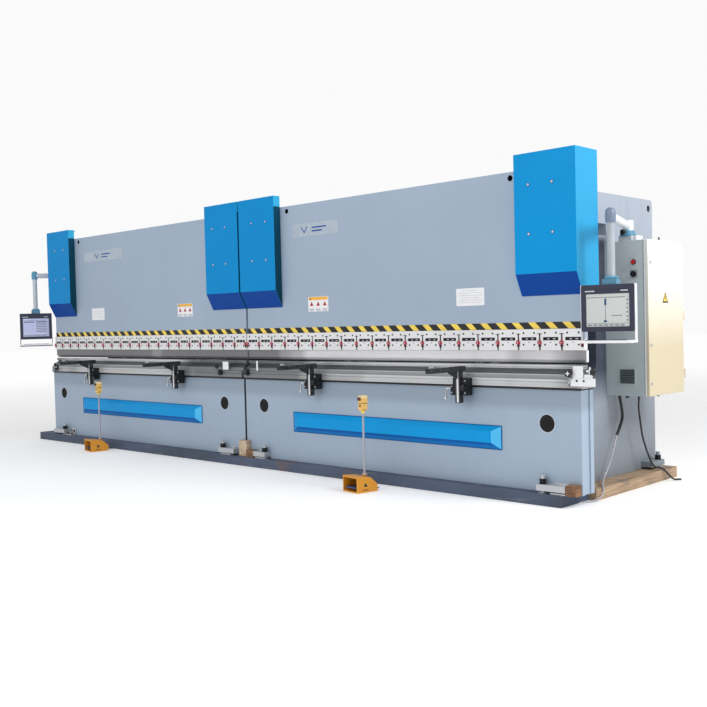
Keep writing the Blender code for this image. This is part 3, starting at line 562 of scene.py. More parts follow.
def block(low, high, bevel=0.0):
    """A box between two corners, its edges broken by a bevel."""
    bm = bmesh.new()
    bmesh.ops.create_cube(bm, size=1.0)
    for vertex in bm.verts:
        for axis in range(3):
            vertex.co[axis] = high[axis] if vertex.co[axis] > 0 else low[axis]
    if bevel:
        bmesh.ops.bevel(bm, geom=bm.edges, offset=bevel, segments=2, profile=0.6, affect="EDGES")
    return bm


def slab(centre, size, bevel=0.0):
    half = Vector(size) / 2
    return block(Vector(centre) - half, Vector(centre) + half, bevel)


def prism(axis, outline, start, end, bevel=0.0):
    """An outline extruded along one axis; its points hold the two other axes in order."""
    order = {"X": (2, 0, 1), "Y": (0, 2, 1), "Z": (0, 1, 2)}[axis]

    def place(u, v, w):
        values = (u, v, w)
        return Vector([values[index] for index in order])

    bm = bmesh.new()
    face = bm.faces.new([bm.verts.new(place(u, v, start)) for u, v in outline])
    grown = bmesh.ops.extrude_face_region(bm, geom=[face])["geom"]
    moved = [item for item in grown if isinstance(item, bmesh.types.BMVert)]
    bmesh.ops.translate(bm, verts=moved, vec=place(0, 0, end - start))
    bmesh.ops.recalc_face_normals(bm, faces=bm.faces)
    if bevel:
        bmesh.ops.bevel(bm, geom=bm.edges, offset=bevel, segments=1, affect="EDGES")
    return bm


def rounded_rectangle(centre, half, radius, steps=5):
    """Outline of a rectangle with rounded corners."""
    points = []
    for quarter, (across, up) in enumerate(((1, 1), (-1, 1), (-1, -1), (1, -1))):
        corner = (centre[0] + across * (half[0] - radius), centre[1] + up * (half[1] - radius))
        for step in range(steps + 1):
            angle = math.pi / 2 * (quarter + step / steps)
            arm = (radius * math.cos(angle), radius * math.sin(angle))
            points.append((corner[0] + arm[0], corner[1] + arm[1]))
    return points


def ring_plate(axis, centre, half, radius, border, start, end):
    """A rounded rectangular frame with an opening, extruded along an axis."""
    outer = rounded_rectangle(centre, half, radius)
    inner_half = (half[0] - border[0], half[1] - border[1])
    inner = rounded_rectangle(centre, inner_half, radius * 0.6)
    order = {"X": (2, 0, 1), "Y": (0, 2, 1), "Z": (0, 1, 2)}[axis]
    bm = bmesh.new()

    def ring(outline, level):
        made = []
        for u, v in outline:
            values = (u, v, level)
            made.append(bm.verts.new(Vector([values[index] for index in order])))
        return made

    loops = [ring(outer, start), ring(outer, end), ring(inner, end), ring(inner, start)]
    count = len(outer)
    for first, second in zip(loops, loops[1:] + loops[:1]):
        for step in range(count):
            after = (step + 1) % count
            bm.faces.new((first[step], first[after], second[after], second[step]))
    bmesh.ops.recalc_face_normals(bm, faces=bm.faces)
    return bm


def turned(profile, start, direction, segments=20):
    """A profile of (radius, distance) points turned about a line.

    Radius 0 closes an end, and a profile that returns to its first point makes a ring.
    """
    turn = Vector(direction).to_track_quat("Z", "Y").to_matrix()
    start = Vector(start)
    ring = profile[0] == profile[-1]
    bm = bmesh.new()
    loops = []
    for radius, along in profile[:-1] if ring else profile:
        if radius == 0:
            loops.append([bm.verts.new(start + turn @ Vector((0, 0, along)))])
            continue
        loop = []
        for step in range(segments):
            angle = 2 * math.pi * step / segments
            arm = Vector((radius * math.cos(angle), radius * math.sin(angle), along))
            loop.append(bm.verts.new(start + turn @ arm))
        loops.append(loop)
    if ring:
        loops.append(loops[0])
    for first, second in zip(loops, loops[1:]):
        for step in range(segments):
            after = (step + 1) % segments
            corners = [first[step % len(first)], first[after % len(first)]]
            corners += [second[after % len(second)], second[step % len(second)]]
            unique = list(dict.fromkeys(corners))
            if len(unique) > 2:
                bm.faces.new(unique)
    bmesh.ops.recalc_face_normals(bm, faces=bm.faces)
    return bm


def disc(start, direction, radius, depth, chamfer=0.001, segments=24):
    """A short round plate with a chamfered front edge."""
    profile = [(0, 0), (radius, 0), (radius, depth - chamfer), (radius - chamfer, depth), (0, depth)]
    return turned(profile, start, direction, segments)


def socket_screw(start, direction, radius, height, segments=14):
    """A cap screw head with a sunk drive hole."""
    hole, sink = radius * 0.48, height * 0.6
    profile = [
        (0, 0),
        (radius, 0),
        (radius, height * 0.8),
        (radius * 0.86, height),
        (hole, height),
        (hole * 0.95, height - sink),
        (0, height - sink),
    ]
    return turned(profile, start, direction, segments)


def hex_bolt(start, direction, radius):
    """A hexagon head on a washer, as two closed shapes."""
    washer = disc(start, direction, radius * 1.35, radius * 0.22, 0.0005)
    along = Vector(direction).normalized()
    head_start = Vector(start) + along * radius * 0.2
    profile = [
        (0, 0), (radius, 0), (radius, radius * 0.55), (radius * 0.85, radius * 0.7), (0, radius * 0.7)
    ]
    return [washer, turned(profile, head_start, direction, 6)]


def smooth_path(points, steps=8):
    """Points along a curve that runs through each given point."""
    points = [Vector(point) for point in points]
    ends = [points[0] * 2 - points[1]] + points + [points[-1] * 2 - points[-2]]
    path = []
    for before, first, second, after in zip(ends, ends[1:], ends[2:], ends[3:]):
        for step in range(steps):
            t = step / steps
            bend = (
                2 * first
                + (second - before) * t
                + (2 * before - 5 * first + 4 * second - after) * t**2
                + (3 * first - before - 3 * second + after) * t**3
            )
            path.append(bend / 2)
    path.append(points[-1])
    return path


def bent_path(points, bend, steps=6):
    """Straight runs between the points, with a rounded bend at each corner."""
    points = [Vector(point) for point in points]
    path = [points[0]]
    for before, corner, after in zip(points, points[1:], points[2:]):
        reach_in = min(bend, (corner - before).length / 2)
        reach_out = min(bend, (after - corner).length / 2)
        enter = corner + (before - corner).normalized() * reach_in
        leave = corner + (after - corner).normalized() * reach_out
        for step in range(steps + 1):
            t = step / steps
            path.append(enter * (1 - t) ** 2 + corner * 2 * t * (1 - t) + leave * t**2)
    path.append(points[-1])
    return path


def tube(points, radius, segments=10):
    """A round bar swept along a path, closed at both ends."""
    bm = bmesh.new()
    loops = []
    side = None
    for index, point in enumerate(points):
        before = points[max(index - 1, 0)]
        after = points[min(index + 1, len(points) - 1)]
        along = (after - before).normalized()
        if side is None:
            side = along.orthogonal().normalized()
        side = (side - along * side.dot(along)).normalized()
        up = along.cross(side)
        loop = []
        for step in range(segments):
            angle = 2 * math.pi * step / segments
            arm = side * math.cos(angle) + up * math.sin(angle)
            loop.append(bm.verts.new(point + arm * radius))
        loops.append(loop)
    for first, second in zip(loops, loops[1:]):
        for step in range(segments):
            after = (step + 1) % segments
            bm.faces.new((first[step], first[after], second[after], second[step]))
    bm.faces.new(loops[0])
    bm.faces.new(loops[-1])
    bmesh.ops.recalc_face_normals(bm, faces=bm.faces)
    return bm


def triangle_plate(centre, size, start, end, axis="Y"):
    """An upright triangle, as on a warning sign."""
    u, v = centre
    half = size / 2
    tall = size * 0.87
    outline = [(u - half, v - tall / 3), (u + half, v - tall / 3), (u, v + tall * 2 / 3)]
    return prism(axis, outline, start, end)


def turn_about(shapes, pivot, angle):
    """Shapes drawn square to a pivot, swung about its vertical line."""
    pivot = Vector(pivot)
    matrix = Matrix.Translation(pivot) @ Matrix.Rotation(angle, 4, "Z")
    for shape in shapes:
        bmesh.ops.transform(shape, matrix=matrix, verts=shape.verts)
    return shapes


def piece(name, shapes, material, body="root", angle=35):
    """One visible piece made of closed shapes in rest position, riding on a CAD body."""
    joined = bmesh.new()
    for shape in shapes:
        part = bpy.data.meshes.new("part")
        shape.to_mesh(part)
        shape.free()
        joined.from_mesh(part)
        bpy.data.meshes.remove(part)
    mesh = bpy.data.meshes.new(name)
    joined.to_mesh(mesh)
    joined.free()
    mesh.shade_smooth()
    mesh.set_sharp_from_angle(angle=math.radians(angle))
    mesh.materials.append(MATERIALS[material])
    made = bpy.data.objects.new(name, mesh)
    bpy.context.scene.collection.objects.link(made)
    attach(made, body)
    return made


# ---------------------------------------------------------------- finishes of the CAD nodes
def node_finishes():
    """Which material each carried-over CAD node wears, and how far its edges are broken."""
    finishes = {
        "base_frame": ("base", 0.004),
        "base_timber_right": ("timber", 0.0),
        "cabinet_body": ("cabinet", 0.003),
        "cabinet_door": ("door", 0.0),
        "red_button": ("red", 0.003),
        "main_switch_knob": ("black_plastic", 0.002),
    }
    for side in SIDES:
        finishes.update({
            f"table_{side}": ("table", 0.0025),
            f"die_bed_{side}": ("bed", 0.001),
            f"die_{side}": ("die", 0.0006),
            f"punch_{side}": ("punch", 0.0008),
            f"ram_{side}": ("ram", 0.0025),
            f"clamp_row_{side}": ("clamp", 0.0012),
            f"oil_tank_{side}": ("tank", 0.0),
            f"pump_motor_{side}": ("blue", 0.003),
            f"gauge_slideway_{side}": ("black", 0.002),
            f"gauge_beam_{side}": ("zinc", 0.002),
            f"pendant_arm_{side}": (f"tube_{side}", 0.0),
            f"pendant_panel_{side}": (f"pendant_{side}", 0.002),
            f"foot_switch_{side}": ("station", 0.0015),
            f"pedal_{side}": ("pedal", 0.0015),
            f"stop_button_{side}": ("stop_red", 0.002),
        })
    for number in range(1, 5):
        finishes.update({
            f"side_frame_{number}": ("frame", 0.004),
            f"cylinder_{number}": ("black", 0.003),
            # Covers 1 to 3 wear the paint with painted shade on their +X cheeks, and cover 4 wears the one with a
            # painted highlight.
            f"cylinder_cover_{number}": ("cover_lit" if number == 4 else "cover_shaded", 0.002),
            f"gauge_finger_{number}": ("steel", 0.001),
            f"support_carriage_{number}": ("black", 0.0015),
            f"support_arm_{number}": ("arm", 0.0012),
        })
    return finishes


def finish_nodes():
    for name, (material, bevel) in node_finishes().items():
        node = frame["nodes"][name]
        node.data.materials.clear()
        node.data.materials.append(MATERIALS[material])
        if not bevel:
            continue
        weld = node.modifiers.new("weld", "WELD")
        weld.merge_threshold = 0.00005
        edges = node.modifiers.new("edges", "BEVEL")
        edges.width = bevel
        edges.segments = 2
        edges.limit_method = "ANGLE"
        edges.angle_limit = math.radians(40)
        edges.harden_normals = True


# ---------------------------------------------------------------- ram fronts
def hazard_stripes(side, ram, clamps):
    """Black bars on a yellow strip above the clamps, leaning to the right as they fall."""
    low, high = clamps[1].z + 0.0015, clamps[1].z + 0.0545
    lean = 0.055
    left, right = ram[0].x + 0.001, ram[1].x - 0.001
    face = RAM_FACE - HAIR
    strip = block((left, face - SKIN, low), (right, face, high))
    piece(f"hazard_strip_{side}", [strip], "yellow", f"ram_{side}")
    bars = []
    pitch, cut = STRIPES[side]
    for index in range(math.ceil((right - left) / pitch) + 1):
        x = left + (index - cut) * pitch
        outline = [
            (x, high), (x + pitch * 0.57, high), (x + pitch * 0.57 + lean, low), (x + lean, low)
        ]
        outline = [(min(max(u, left), right), v) for u, v in outline]
        if outline[1][0] - outline[0][0] + outline[2][0] - outline[3][0] < 0.01:
            continue
        bars.append(prism("Y", outline, face - 2 * SKIN, face - SKIN + 0.0002))
    piece(f"hazard_bars_{side}", bars, "ink", f"ram_{side}")


def label(name, centre_x, centre_z, half, face, body):
    """A thin white plate with rounded corners."""
    outline = rounded_rectangle((centre_x, centre_z), half, 0.006)
    piece(name, [prism("Y", outline, face - SKIN, face)], "sheet_white", body)


def notice_label(side, ram, centre, outward):
    """Plain white notice with a few faint grey rules instead of wording."""
    body = f"ram_{side}"
    face = RAM_FACE - HAIR
    x = centre + outward * 0.9175
    z = 1.660
    half = (0.146, 0.074)
    label(f"notice_label_{side}", x, z, half, face, body)
    rules = []
    for row in range(6):
        level = z + half[1] * (0.72 - 0.27 * row)
        width = half[0] * (0.82 if row % 3 else 0.6)
        rules.append(block((x - width, face - SKIN - 0.0004, level - 0.0012), (x + width, face - SKIN, level + 0.0012)))
    piece(f"notice_rules_{side}", rules, "label_grey", body)


def warning_label(side, ram, centre, outward):
    """White warning plate: an orange heading, and pictogram triangles over plain bars."""
    body = f"ram_{side}"
    face = RAM_FACE - HAIR
    x = centre + outward * 0.9175
    z = 1.660
    half = (0.140, 0.073)
    label(f"warning_label_{side}", x, z, half, face, body)
    front, back = face - SKIN - 0.0005, face - SKIN + 0.0001
    heading = block((x - half[0] + 0.008, front, z + 0.040), (x + half[0] - 0.008, back, z + 0.070))
    piece(f"warning_heading_{side}", [heading], "label_orange", body)
    signs, marks, bars = [], [], []
    for column in (-1, 0, 1):
        centre_x = x + column * 0.092
        signs.append(triangle_plate((centre_x, z - 0.002), 0.052, front, back))
        marks.append(triangle_plate((centre_x, z - 0.004), 0.024, front - 0.0004, back))
        bars.append(block((centre_x - 0.034, front, z - 0.055), (centre_x + 0.034, back, z - 0.046)))
        bars.append(block((centre_x - 0.028, front, z - 0.068), (centre_x + 0.028, back, z - 0.061)))
    heading_mark = triangle_plate((x - 0.11, z + 0.052), 0.022, front - 0.0005, front + 0.0001)
    piece(f"warning_signs_{side}", signs, "label_red", body)
    piece(f"warning_marks_{side}", marks + [heading_mark], "ink", body)
    piece(f"warning_bars_{side}", bars, "label_grey", body)


def maker_plate(side, centre_x, half_width):
    """Blank nameplate with four rivets and a folded-sheet symbol."""
    body = f"ram_{side}"
    face = RAM_FACE - HAIR
    z, half = 2.395, (half_width, 0.066)
    outline = rounded_rectangle((centre_x, z), half, 0.010)
    piece(f"nameplate_{side}", [prism("Y", outline, face - 0.0015, face)], "plate_grey", body)
    front, back = face - 0.0022, face - 0.0014
    bend = [(-0.20, 0.030), (-0.188, 0.030), (-0.148, -0.018), (-0.108, 0.030), (-0.096, 0.030), (-0.148, -0.033)]
    shapes = [prism("Y", [(centre_x + u, z + v) for u, v in bend], front, back)]
    for row, width in enumerate((0.20, 0.14)):
        level = z + 0.016 - 0.034 * row
        shapes.append(block((centre_x - 0.04, front, level - 0.006), (centre_x - 0.04 + width, back, level + 0.006)))
    piece(f"nameplate_symbol_{side}", shapes, "chin_blue", body)
    rivets = []
    for across in ENDS:
        for up in ENDS:
            spot = (centre_x + across * (half[0] - 0.012), face - 0.0014, z + up * (half[1] - 0.012))
            rivets.append(turned([(0, 0), (0.005, 0), (0.004, 0.0018), (0, 0.0026)], spot, (0, -1, 0), 12))
    piece(f"nameplate_rivets_{side}", rivets, "zinc", body)


def clamp_details(side, clamps, centre):
    """Red release wheels, wedges and screws of the quick clamps."""
    body = f"ram_{side}"
    front = clamps[0].y
    low, high = clamps[0].z, clamps[1].z
    out = (0, -1, 0)
    wheels, hubs, wedges, gap_shade_bars, fillers = [], [], [], [], []
    wheel = [(0, 0), (0.0165, 0), (0.0180, 0.002), (0.0180, 0.008), (0.0160, 0.011), (0.006, 0.011), (0, 0.0105)]
    for index in range(CLAMPS + 1):
        x = centre + CLAMP_PITCH * (index - CLAMPS / 2)
        inside = 0 < index < CLAMPS
        x_wheel = x if inside else x - math.copysign(0.0195, x - centre)
        wheels.append(turned(wheel, (x_wheel, front - 0.0003, low + 0.0615), out, 18))
        hubs.append(socket_screw((x_wheel, front - 0.0112, low + 0.0615), out, 0.0055, 0.003, 10))
        wedges.append(slab((x_wheel + 0.002, front - 0.004, low + 0.038), (0.020, 0.0075, 0.022), 0.0015))
        if inside:
            # Black bars in the gaps between the clamps, and a short black bar across each gap: painted shade.
            gap_shade_bars.append(block((x - 0.0066, front + 0.006, low + 0.002), (x + 0.0066, -0.0006, high - 0.038)))
            gap_shade_bars.append(slab((x, front - 0.001, high - 0.038), (0.040, 0.0016, 0.005)))
            fillers.append(block((x - 0.0066, front + 0.0004, high - 0.034), (x + 0.0066, -0.0006, high - 0.0004)))
    piece(f"clamp_wheels_{side}", wheels, "knob_red", body)
    piece(f"clamp_hubs_{side}", hubs, "zinc", body)
    piece(f"clamp_wedges_{side}", wedges, "screw", body)
    piece(f"clamp_gap_shade_{side}", gap_shade_bars, "screw", body)
    piece(f"clamp_fillers_{side}", fillers, "clamp", body)
    screws, liners, slides = [], [], []
    for index in range(CLAMPS):
        x = centre + CLAMP_PITCH * (index + 0.5 - CLAMPS / 2)
        for across in ENDS:
            for level in (low + 0.0445, high - 0.030):
                screws.append(socket_screw((x + across * 0.050, front - 0.0003, level), out, 0.0078, 0.0025, 12))
        screws.append(disc((x, front - 0.0003, low + 0.0635), out, 0.0045, 0.0012, 0.0004, 10))
        liners.append(block((x - 0.0695, front + 0.0085, low + 0.0790), (x + 0.0695, front + 0.0098, low + 0.1040)))
        for across, width in ((-0.022, 0.020), (0.030, 0.024)):
            slides.append(slab((x + across, front + 0.0055, low + 0.0905), (width, 0.006, 0.008), 0.002))
    piece(f"clamp_screws_{side}", screws, "screw", body)
    piece(f"clamp_window_liners_{side}", liners, "screw", body)
    piece(f"clamp_wedge_slides_{side}", slides, "zinc", body)


def ram_fittings(side, ram, centre):
    """Dark bushes in the lifting holes, and a pale end plate beside the last punch."""
    body = f"ram_{side}"
    bush = [(0.0205, 0), (0.0246, 0), (0.0246, 0.052), (0.0205, 0.052), (0.0205, 0)]
    cap = [(0, 0.040), (0.0205, 0.040), (0.0205, 0.044), (0, 0.044)]
    shapes = []
    for end in ENDS:
        spot = (centre + end * 1.34, RAM_FACE + 0.004, 2.604)
        shapes.append(turned(bush, spot, (0, 1, 0), 24))
        shapes.append(turned(cap, spot, (0, 1, 0), 24))
    piece(f"lifting_hole_bushes_{side}", shapes, "screw", body)
    if side == "right":
        end_x = centre + 1.9935
        plate = block((end_x, 0.016, 1.120), (end_x + 0.004, 0.048, 1.209), 0.0012)
        piece("punch_end_plate", [plate], "white", body)


def dress_ram(side):
    ram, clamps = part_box(f"ram_{side}"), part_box(f"clamp_row_{side}")
    centre = middle(ram).x
    outward = -1 if side == "left" else 1
    hazard_stripes(side, ram, clamps)
    notice_label(side, ram, centre, outward)
    warning_label(side, ram, centre, -outward)
    if side == "left":
        maker_plate(side, centre - 0.76, 0.44)
    else:
        maker_plate(side, centre - 0.94, 0.32)
    ram_fittings(side, ram, centre)
    clamp_details(side, clamps, centre)


# ---------------------------------------------------------------- covers
def dress_cover(number):
    """Four button-head screws on washers, and a deep blue sheet of painted shade over the lower slope."""
    low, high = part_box(f"cylinder_cover_{number}")
    machine = -2.0 if number < 3 else 2.0
    centre = machine + (-1.675 if number in (1, 3) else 1.675)
    out = (0, -1, 0)
    button = [(0, 0), (0.011, 0), (0.010, 0.003), (0.006, 0.0048), (0.003, 0.0048), (0.003, 0.003), (0, 0.003)]
    screws, washers = [], []
    for across in ENDS:
        for level in (high.z - 0.249, high.z - 0.636):
            spot = Vector((centre + across * 0.108, low.y - HAIR, level))
            washers.append(disc(spot, out, 0.0145, 0.0012, 0.0004))
            screws.append(turned(button, spot + Vector((0, -0.0012, 0)), out, 14))
    piece(f"cover_washers_{number}", washers, "chin_blue", "root")
    piece(f"cover_screws_{number}", screws, "zinc", "root")
    # The deep blue chin sheet over the lower slope is painted shade.
    inset = 0.004
    knee_z, foot_z = high.z - 0.949, low.z
    front = low.y
    outline = [
        (front - 0.0002, knee_z),
        (front + 0.086 - 0.0002, foot_z + 0.0004),
        (front + 0.086 - 0.0012, foot_z - 0.0002),
        (front - 0.0013, knee_z),
    ]
    plate = prism("X", outline, low.x + inset, high.x - inset)
    piece(f"cover_chin_{number}", [plate], "chin_blue", "root")


# ---------------------------------------------------------------- tables
def trim_panel(side, centre):
    """Raised blue panel: a flat crown, four slopes and a thin darker rim."""
    low_z, high_z = 0.400, 0.588
    half, height, rim = 1.246, 0.040, 0.004
    slopes = {"end": 0.078, "lower": 0.052, "upper": 0.040}
    back = TABLE_FACE - HAIR
    bm = bmesh.new()
    outer = [(-half, low_z), (half, low_z), (half, high_z), (-half, high_z)]
    base = [bm.verts.new((centre + u, back, v)) for u, v in outer]
    edge = [bm.verts.new((centre + u, back - rim, v)) for u, v in outer]
    crown = []
    for u, v in outer:
        inner_v = v + slopes["lower"] if v == low_z else v - slopes["upper"]
        crown.append(bm.verts.new((centre + u - math.copysign(slopes["end"], u), back - height, inner_v)))
    for first, second in ((base, edge), (edge, crown)):
        for step in range(4):
            after = (step + 1) % 4
            bm.faces.new((first[step], first[after], second[after], second[step]))
    bm.faces.new(base)
    bm.faces.new(crown)
    bmesh.ops.recalc_face_normals(bm, faces=bm.faces)
    piece(f"table_trim_{side}", [bm], "trim", "root", angle=10)
    middle_z = (low_z + high_z) / 2
    border = ring_plate(
        "Y", (centre, middle_z), (half + 0.006, (high_z - low_z) / 2 + 0.006), 0.006,
        (0.0058, 0.0058), back - 0.006, back,
    )
    piece(f"table_trim_rim_{side}", [border], "trim_edge", "root")


def porthole(name, x, z, front):
    """Access hole: a pale rolled rim round a dark plug with a sunk hub."""
    out = (0, -1, 0)
    rim = [(0.0695, 0.0), (0.0765, 0.0), (0.0765, 0.0016), (0.0745, 0.003), (0.0705, 0.003), (0.0695, 0.0016)]
    rim.append(rim[0])
    piece(f"{name}_rim", [turned(rim, (x, front - HAIR, z), out, 40)], "tube", "root")
    plug = [
        (0, 0), (0.0692, 0), (0.0692, 0.030), (0.066, 0.034), (0.040, 0.034), (0.036, 0.030),
        (0.020, 0.030), (0.018, 0.034), (0, 0.036),
    ]
    piece(f"{name}_plug", [turned(plug, (x, front + 0.0375, z), out, 40)], "plug", "root")


def levelling_foot(name, x, y, plate_top, body_low):
    """Lock nuts above a foot lug and a washer below it."""
    up = (0, 0, 1)
    nut = [(0.0182, 0), (0.030, 0), (0.030, 0.016), (0.026, 0.019), (0.0182, 0.019), (0.0182, 0)]
    nuts = [turned(nut, (x, y, level), up, 6) for level in (plate_top + 0.0005, plate_top + 0.022)]
    piece(f"{name}_nuts", nuts, "screw", "root")
    washer = [(0.0182, 0), (0.040, 0), (0.040, 0.004), (0.0182, 0.004), (0.0182, 0)]
    piece(f"{name}_washer", [turned(washer, (x, y, body_low + 0.0006), up, 24)], "zinc", "root")


def holding_bracket(name, x, outward, low):
    """Angle bracket beside a foot: a foot plate, an upright, a rib and two dark bolts."""
    front, back = -0.138, TABLE_FACE - 0.0012
    near, far = sorted((x, x + outward * 0.125))
    foot = block((near, front, low), (far, back, low + 0.012), 0.002)
    wall = block((near, back - 0.010, low + 0.0125), (far, back, low + 0.085), 0.002)
    rib_outline = [(back - 0.0105, low + 0.0125), (front + 0.012, low + 0.0125), (back - 0.0105, low + 0.070)]
    rib = prism("X", rib_outline, (near + far) / 2 - 0.005, (near + far) / 2 + 0.005, 0.001)
    piece(f"{name}_angle", [foot, wall, rib], "zinc", "root")
    bolts = []
    for share in (0.22, 0.78):
        spot = near + (far - near) * share
        bolts += hex_bolt((spot, front + 0.026, low + 0.0122), (0, 0, 1), 0.015)
        bolts += hex_bolt((spot, back - 0.0102, low + 0.052), (0, -1, 0), 0.012)
    piece(f"{name}_bolts", bolts, "screw", "root")


def packing(name, low, high, material):
    """A rough wooden packing block with broken edges."""
    piece(name, [block(low, high, 0.004)], material, "root")


def dress_feet():
    """Angle brackets and the packing left beside the tables' front feet."""
    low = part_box("table_left")[0].z + 0.0004
    for name, x, outward in (
        ("bracket_far_left", -3.58, 1), ("bracket_left_inner", -0.300, 1),
        ("bracket_right_inner", 0.225, 1), ("bracket_far_right", 3.745, 1),
    ):
        holding_bracket(name, x, outward, low)
    packing("packing_middle_pale", (-0.052, -0.118, low), (0.074, -0.0565, low + 0.165), "pale_block")
    packing("packing_middle_dark", (0.088, -0.144, low), (0.198, -0.0565, low + 0.074), "block")
    packing("packing_right_dark", (3.884, -0.142, low), (3.978, -0.0565, low + 0.084), "block")


def dress_table(side):
    low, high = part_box(f"table_{side}")
    centre = (low.x + high.x) / 2
    trim_panel(side, centre)
    hole_middle = {"left": -2.04, "right": 1.99}[side]
    for number, end in enumerate(ENDS, 1):
        porthole(f"porthole_{side}_{number}", hole_middle + end * 1.69, 0.637, TABLE_FACE)
        x = centre + end * 1.66
        levelling_foot(f"table_foot_{side}_{number}", x, TABLE_FACE - 0.045, 0.165, low.z)
    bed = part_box(f"die_bed_{side}")
    # A black strip in the gap between the table and the rail: painted shadow.
    seal = block((bed[0].x + 0.002, TABLE_FACE - 0.0262, high.z + 0.0004), (bed[1].x - 0.002, TABLE_FACE - 0.0004, RAIL_LOW - 0.0004))
    piece(f"rail_gap_shade_{side}", [seal], "ink", "root")


# ---------------------------------------------------------------- sheet supports
def star_knob(centre, direction, radius, depth, lobes=5):
    """A lobed clamping knob with a chamfered rim."""
    steps = 8 * lobes
    turn = Vector(direction).to_track_quat("Z", "Y").to_matrix()
    centre = Vector(centre)
    bm = bmesh.new()
    loops = []
    for grow, along in ((0.92, 0.0), (1.0, 0.12), (1.0, 0.80), (0.88, 1.0), (0.45, 1.0), (0.40, 0.9)):
        loop = []
        for step in range(steps):
            angle = 2 * math.pi * step / steps
            reach = radius * grow * (0.86 + 0.14 * math.cos(lobes * angle))
            arm = Vector((reach * math.cos(angle), reach * math.sin(angle), depth * along))
            loop.append(bm.verts.new(centre + turn @ arm))
        loops.append(loop)
    for first, second in zip(loops, loops[1:]):
        for step in range(steps):
            after = (step + 1) % steps
            bm.faces.new((first[step], first[after], second[after], second[step]))
    bm.faces.new(loops[0])
    bm.faces.new(loops[-1])
    bmesh.ops.recalc_face_normals(bm, faces=bm.faces)
    return bm


def dress_support(number):
    """Slot inlay and tip stop on the arm; knob, lever and screws on the carriage."""
    arm_body, carriage_body = f"support_arm_{number}", f"support_carriage_{number}"
    arm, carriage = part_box(arm_body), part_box(carriage_body)
    x = middle(arm).x
    bar_front = -0.176
    inlay = slab((x + 0.004, bar_front - 0.0008, 0.912), (0.019, 0.0014, 0.262), 0.0004)
    top = slab((x, (arm[0].y + bar_front) / 2 - 0.01, arm[1].z + 0.0008), (0.014, 0.33, 0.0014), 0.0004)
    cap = slab((x, arm[0].y - 0.003, 1.0615), (0.044, 0.005, 0.040), 0.0015)
    foot = slab((x, -0.151, 0.7775), (0.044, 0.046, 0.004), 0.0012)
    piece(f"support_inlay_{number}", [inlay, top], "clamp", arm_body)
    piece(f"support_caps_{number}", [cap, foot], "black_plastic", arm_body)
    stop = slab((x, arm[0].y + 0.045, arm[1].z + 0.009), (0.034, 0.020, 0.0165), 0.002)
    stop_screw = socket_screw((x, arm[0].y + 0.045, arm[1].z + 0.0174), (0, 0, 1), 0.006, 0.004)
    piece(f"support_stop_{number}", [stop], "zinc", arm_body)
    piece(f"support_stop_screw_{number}", [stop_screw], "screw", arm_body)
    knob = star_knob((x + 0.058, carriage[0].y - 0.012, 0.905), (0, -1, 0), 0.028, 0.024)
    neck = disc((x + 0.058, carriage[0].y - HAIR, 0.905), (0, -1, 0), 0.010, 0.0115)
    piece(f"support_knob_{number}", [knob], "black_plastic", carriage_body)
    piece(f"support_knob_neck_{number}", [neck], "zinc", carriage_body)
    root = Vector((x - 0.085, -0.135, 0.893))
    lever = smooth_path([root, root + Vector((-0.040, -0.010, 0.002)), root + Vector((-0.052, -0.016, -0.012)), root + Vector((-0.054, -0.022, -0.080))], 5)
    piece(f"support_lever_{number}", [tube(lever, 0.0065)], "chrome", carriage_body)
    grip = lever[-1]
    ball = [(0, -0.014), (0.008, -0.012), (0.012, -0.004), (0.011, 0.006), (0.0065, 0.012), (0, 0.012)]
    piece(f"support_grip_{number}", [turned(ball, grip, (0, 0, 1), 14)], "chrome", carriage_body)
    screws = []
    for across, level in ((-0.070, 0.860), (-0.070, 0.912), (0.070, 0.860), (0.070, 0.962)):
        screws.append(socket_screw((x + across, carriage[0].y - HAIR, level), (0, -1, 0), 0.0065, 0.005))
    piece(f"support_screws_{number}", screws, "zinc", carriage_body)


def right_end_stop(x, rail_front):
    """White plates over the open end of the right rail, with two star knobs and a lever."""
    out = (0, -1, 0)
    foot = block((x - 0.066, rail_front - 0.014, 0.9405), (x + 0.140, rail_front - 0.0006, 1.002), 0.002)
    upright = block((x - 0.044, rail_front - 0.015, 1.0025), (x + 0.042, rail_front - 0.007, 1.095), 0.002)
    wing = block((x + 0.052, rail_front - 0.012, 1.0025), (x + 0.120, rail_front - 0.004, 1.030), 0.002)
    arms = [slab((x + 0.100, rail_front - 0.010, 1.058), (0.060, 0.006, 0.016), 0.002)]
    arms.append(slab((x + 0.100, rail_front - 0.010, 1.058), (0.016, 0.0055, 0.060), 0.002))
    piece("rail_stop_plates_right", [foot, upright, wing] + arms, "white", "root")
    knobs = [star_knob((x - 0.066, rail_front - 0.030, 1.039), out, 0.034, 0.022)]
    knobs.append(star_knob((x + 0.134, rail_front - 0.016, 1.049), out, 0.028, 0.022))
    piece("rail_stop_knobs_right", knobs, "black_plastic", "root")
    stars = [slab((x - 0.066, rail_front - 0.0545, 1.039), (0.032, 0.004, 0.009), 0.001)]
    stars.append(slab((x - 0.066, rail_front - 0.0545, 1.039), (0.009, 0.0035, 0.032), 0.001))
    piece("rail_stop_knob_inserts_right", stars, "white", "root")
    studs = [disc((x - 0.066, rail_front - 0.0005, 1.039), out, 0.009, 0.0295)]
    studs.append(disc((x + 0.134, rail_front - 0.0005, 1.049), out, 0.009, 0.0155))
    for shift in (-0.01, 0.05):
        studs.append(socket_screw((x + shift, rail_front - 0.0141, 0.982), out, 0.008, 0.006))
    piece("rail_stop_studs_right", studs, "screw", "root")
    lever = bent_path([(x - 0.070, rail_front - 0.016, 1.004), (x - 0.074, rail_front - 0.016, 0.97), (x - 0.098, rail_front - 0.020, 0.945)], 0.02)
    piece("rail_stop_lever_right", [tube(lever, 0.011)], "steel", "root")


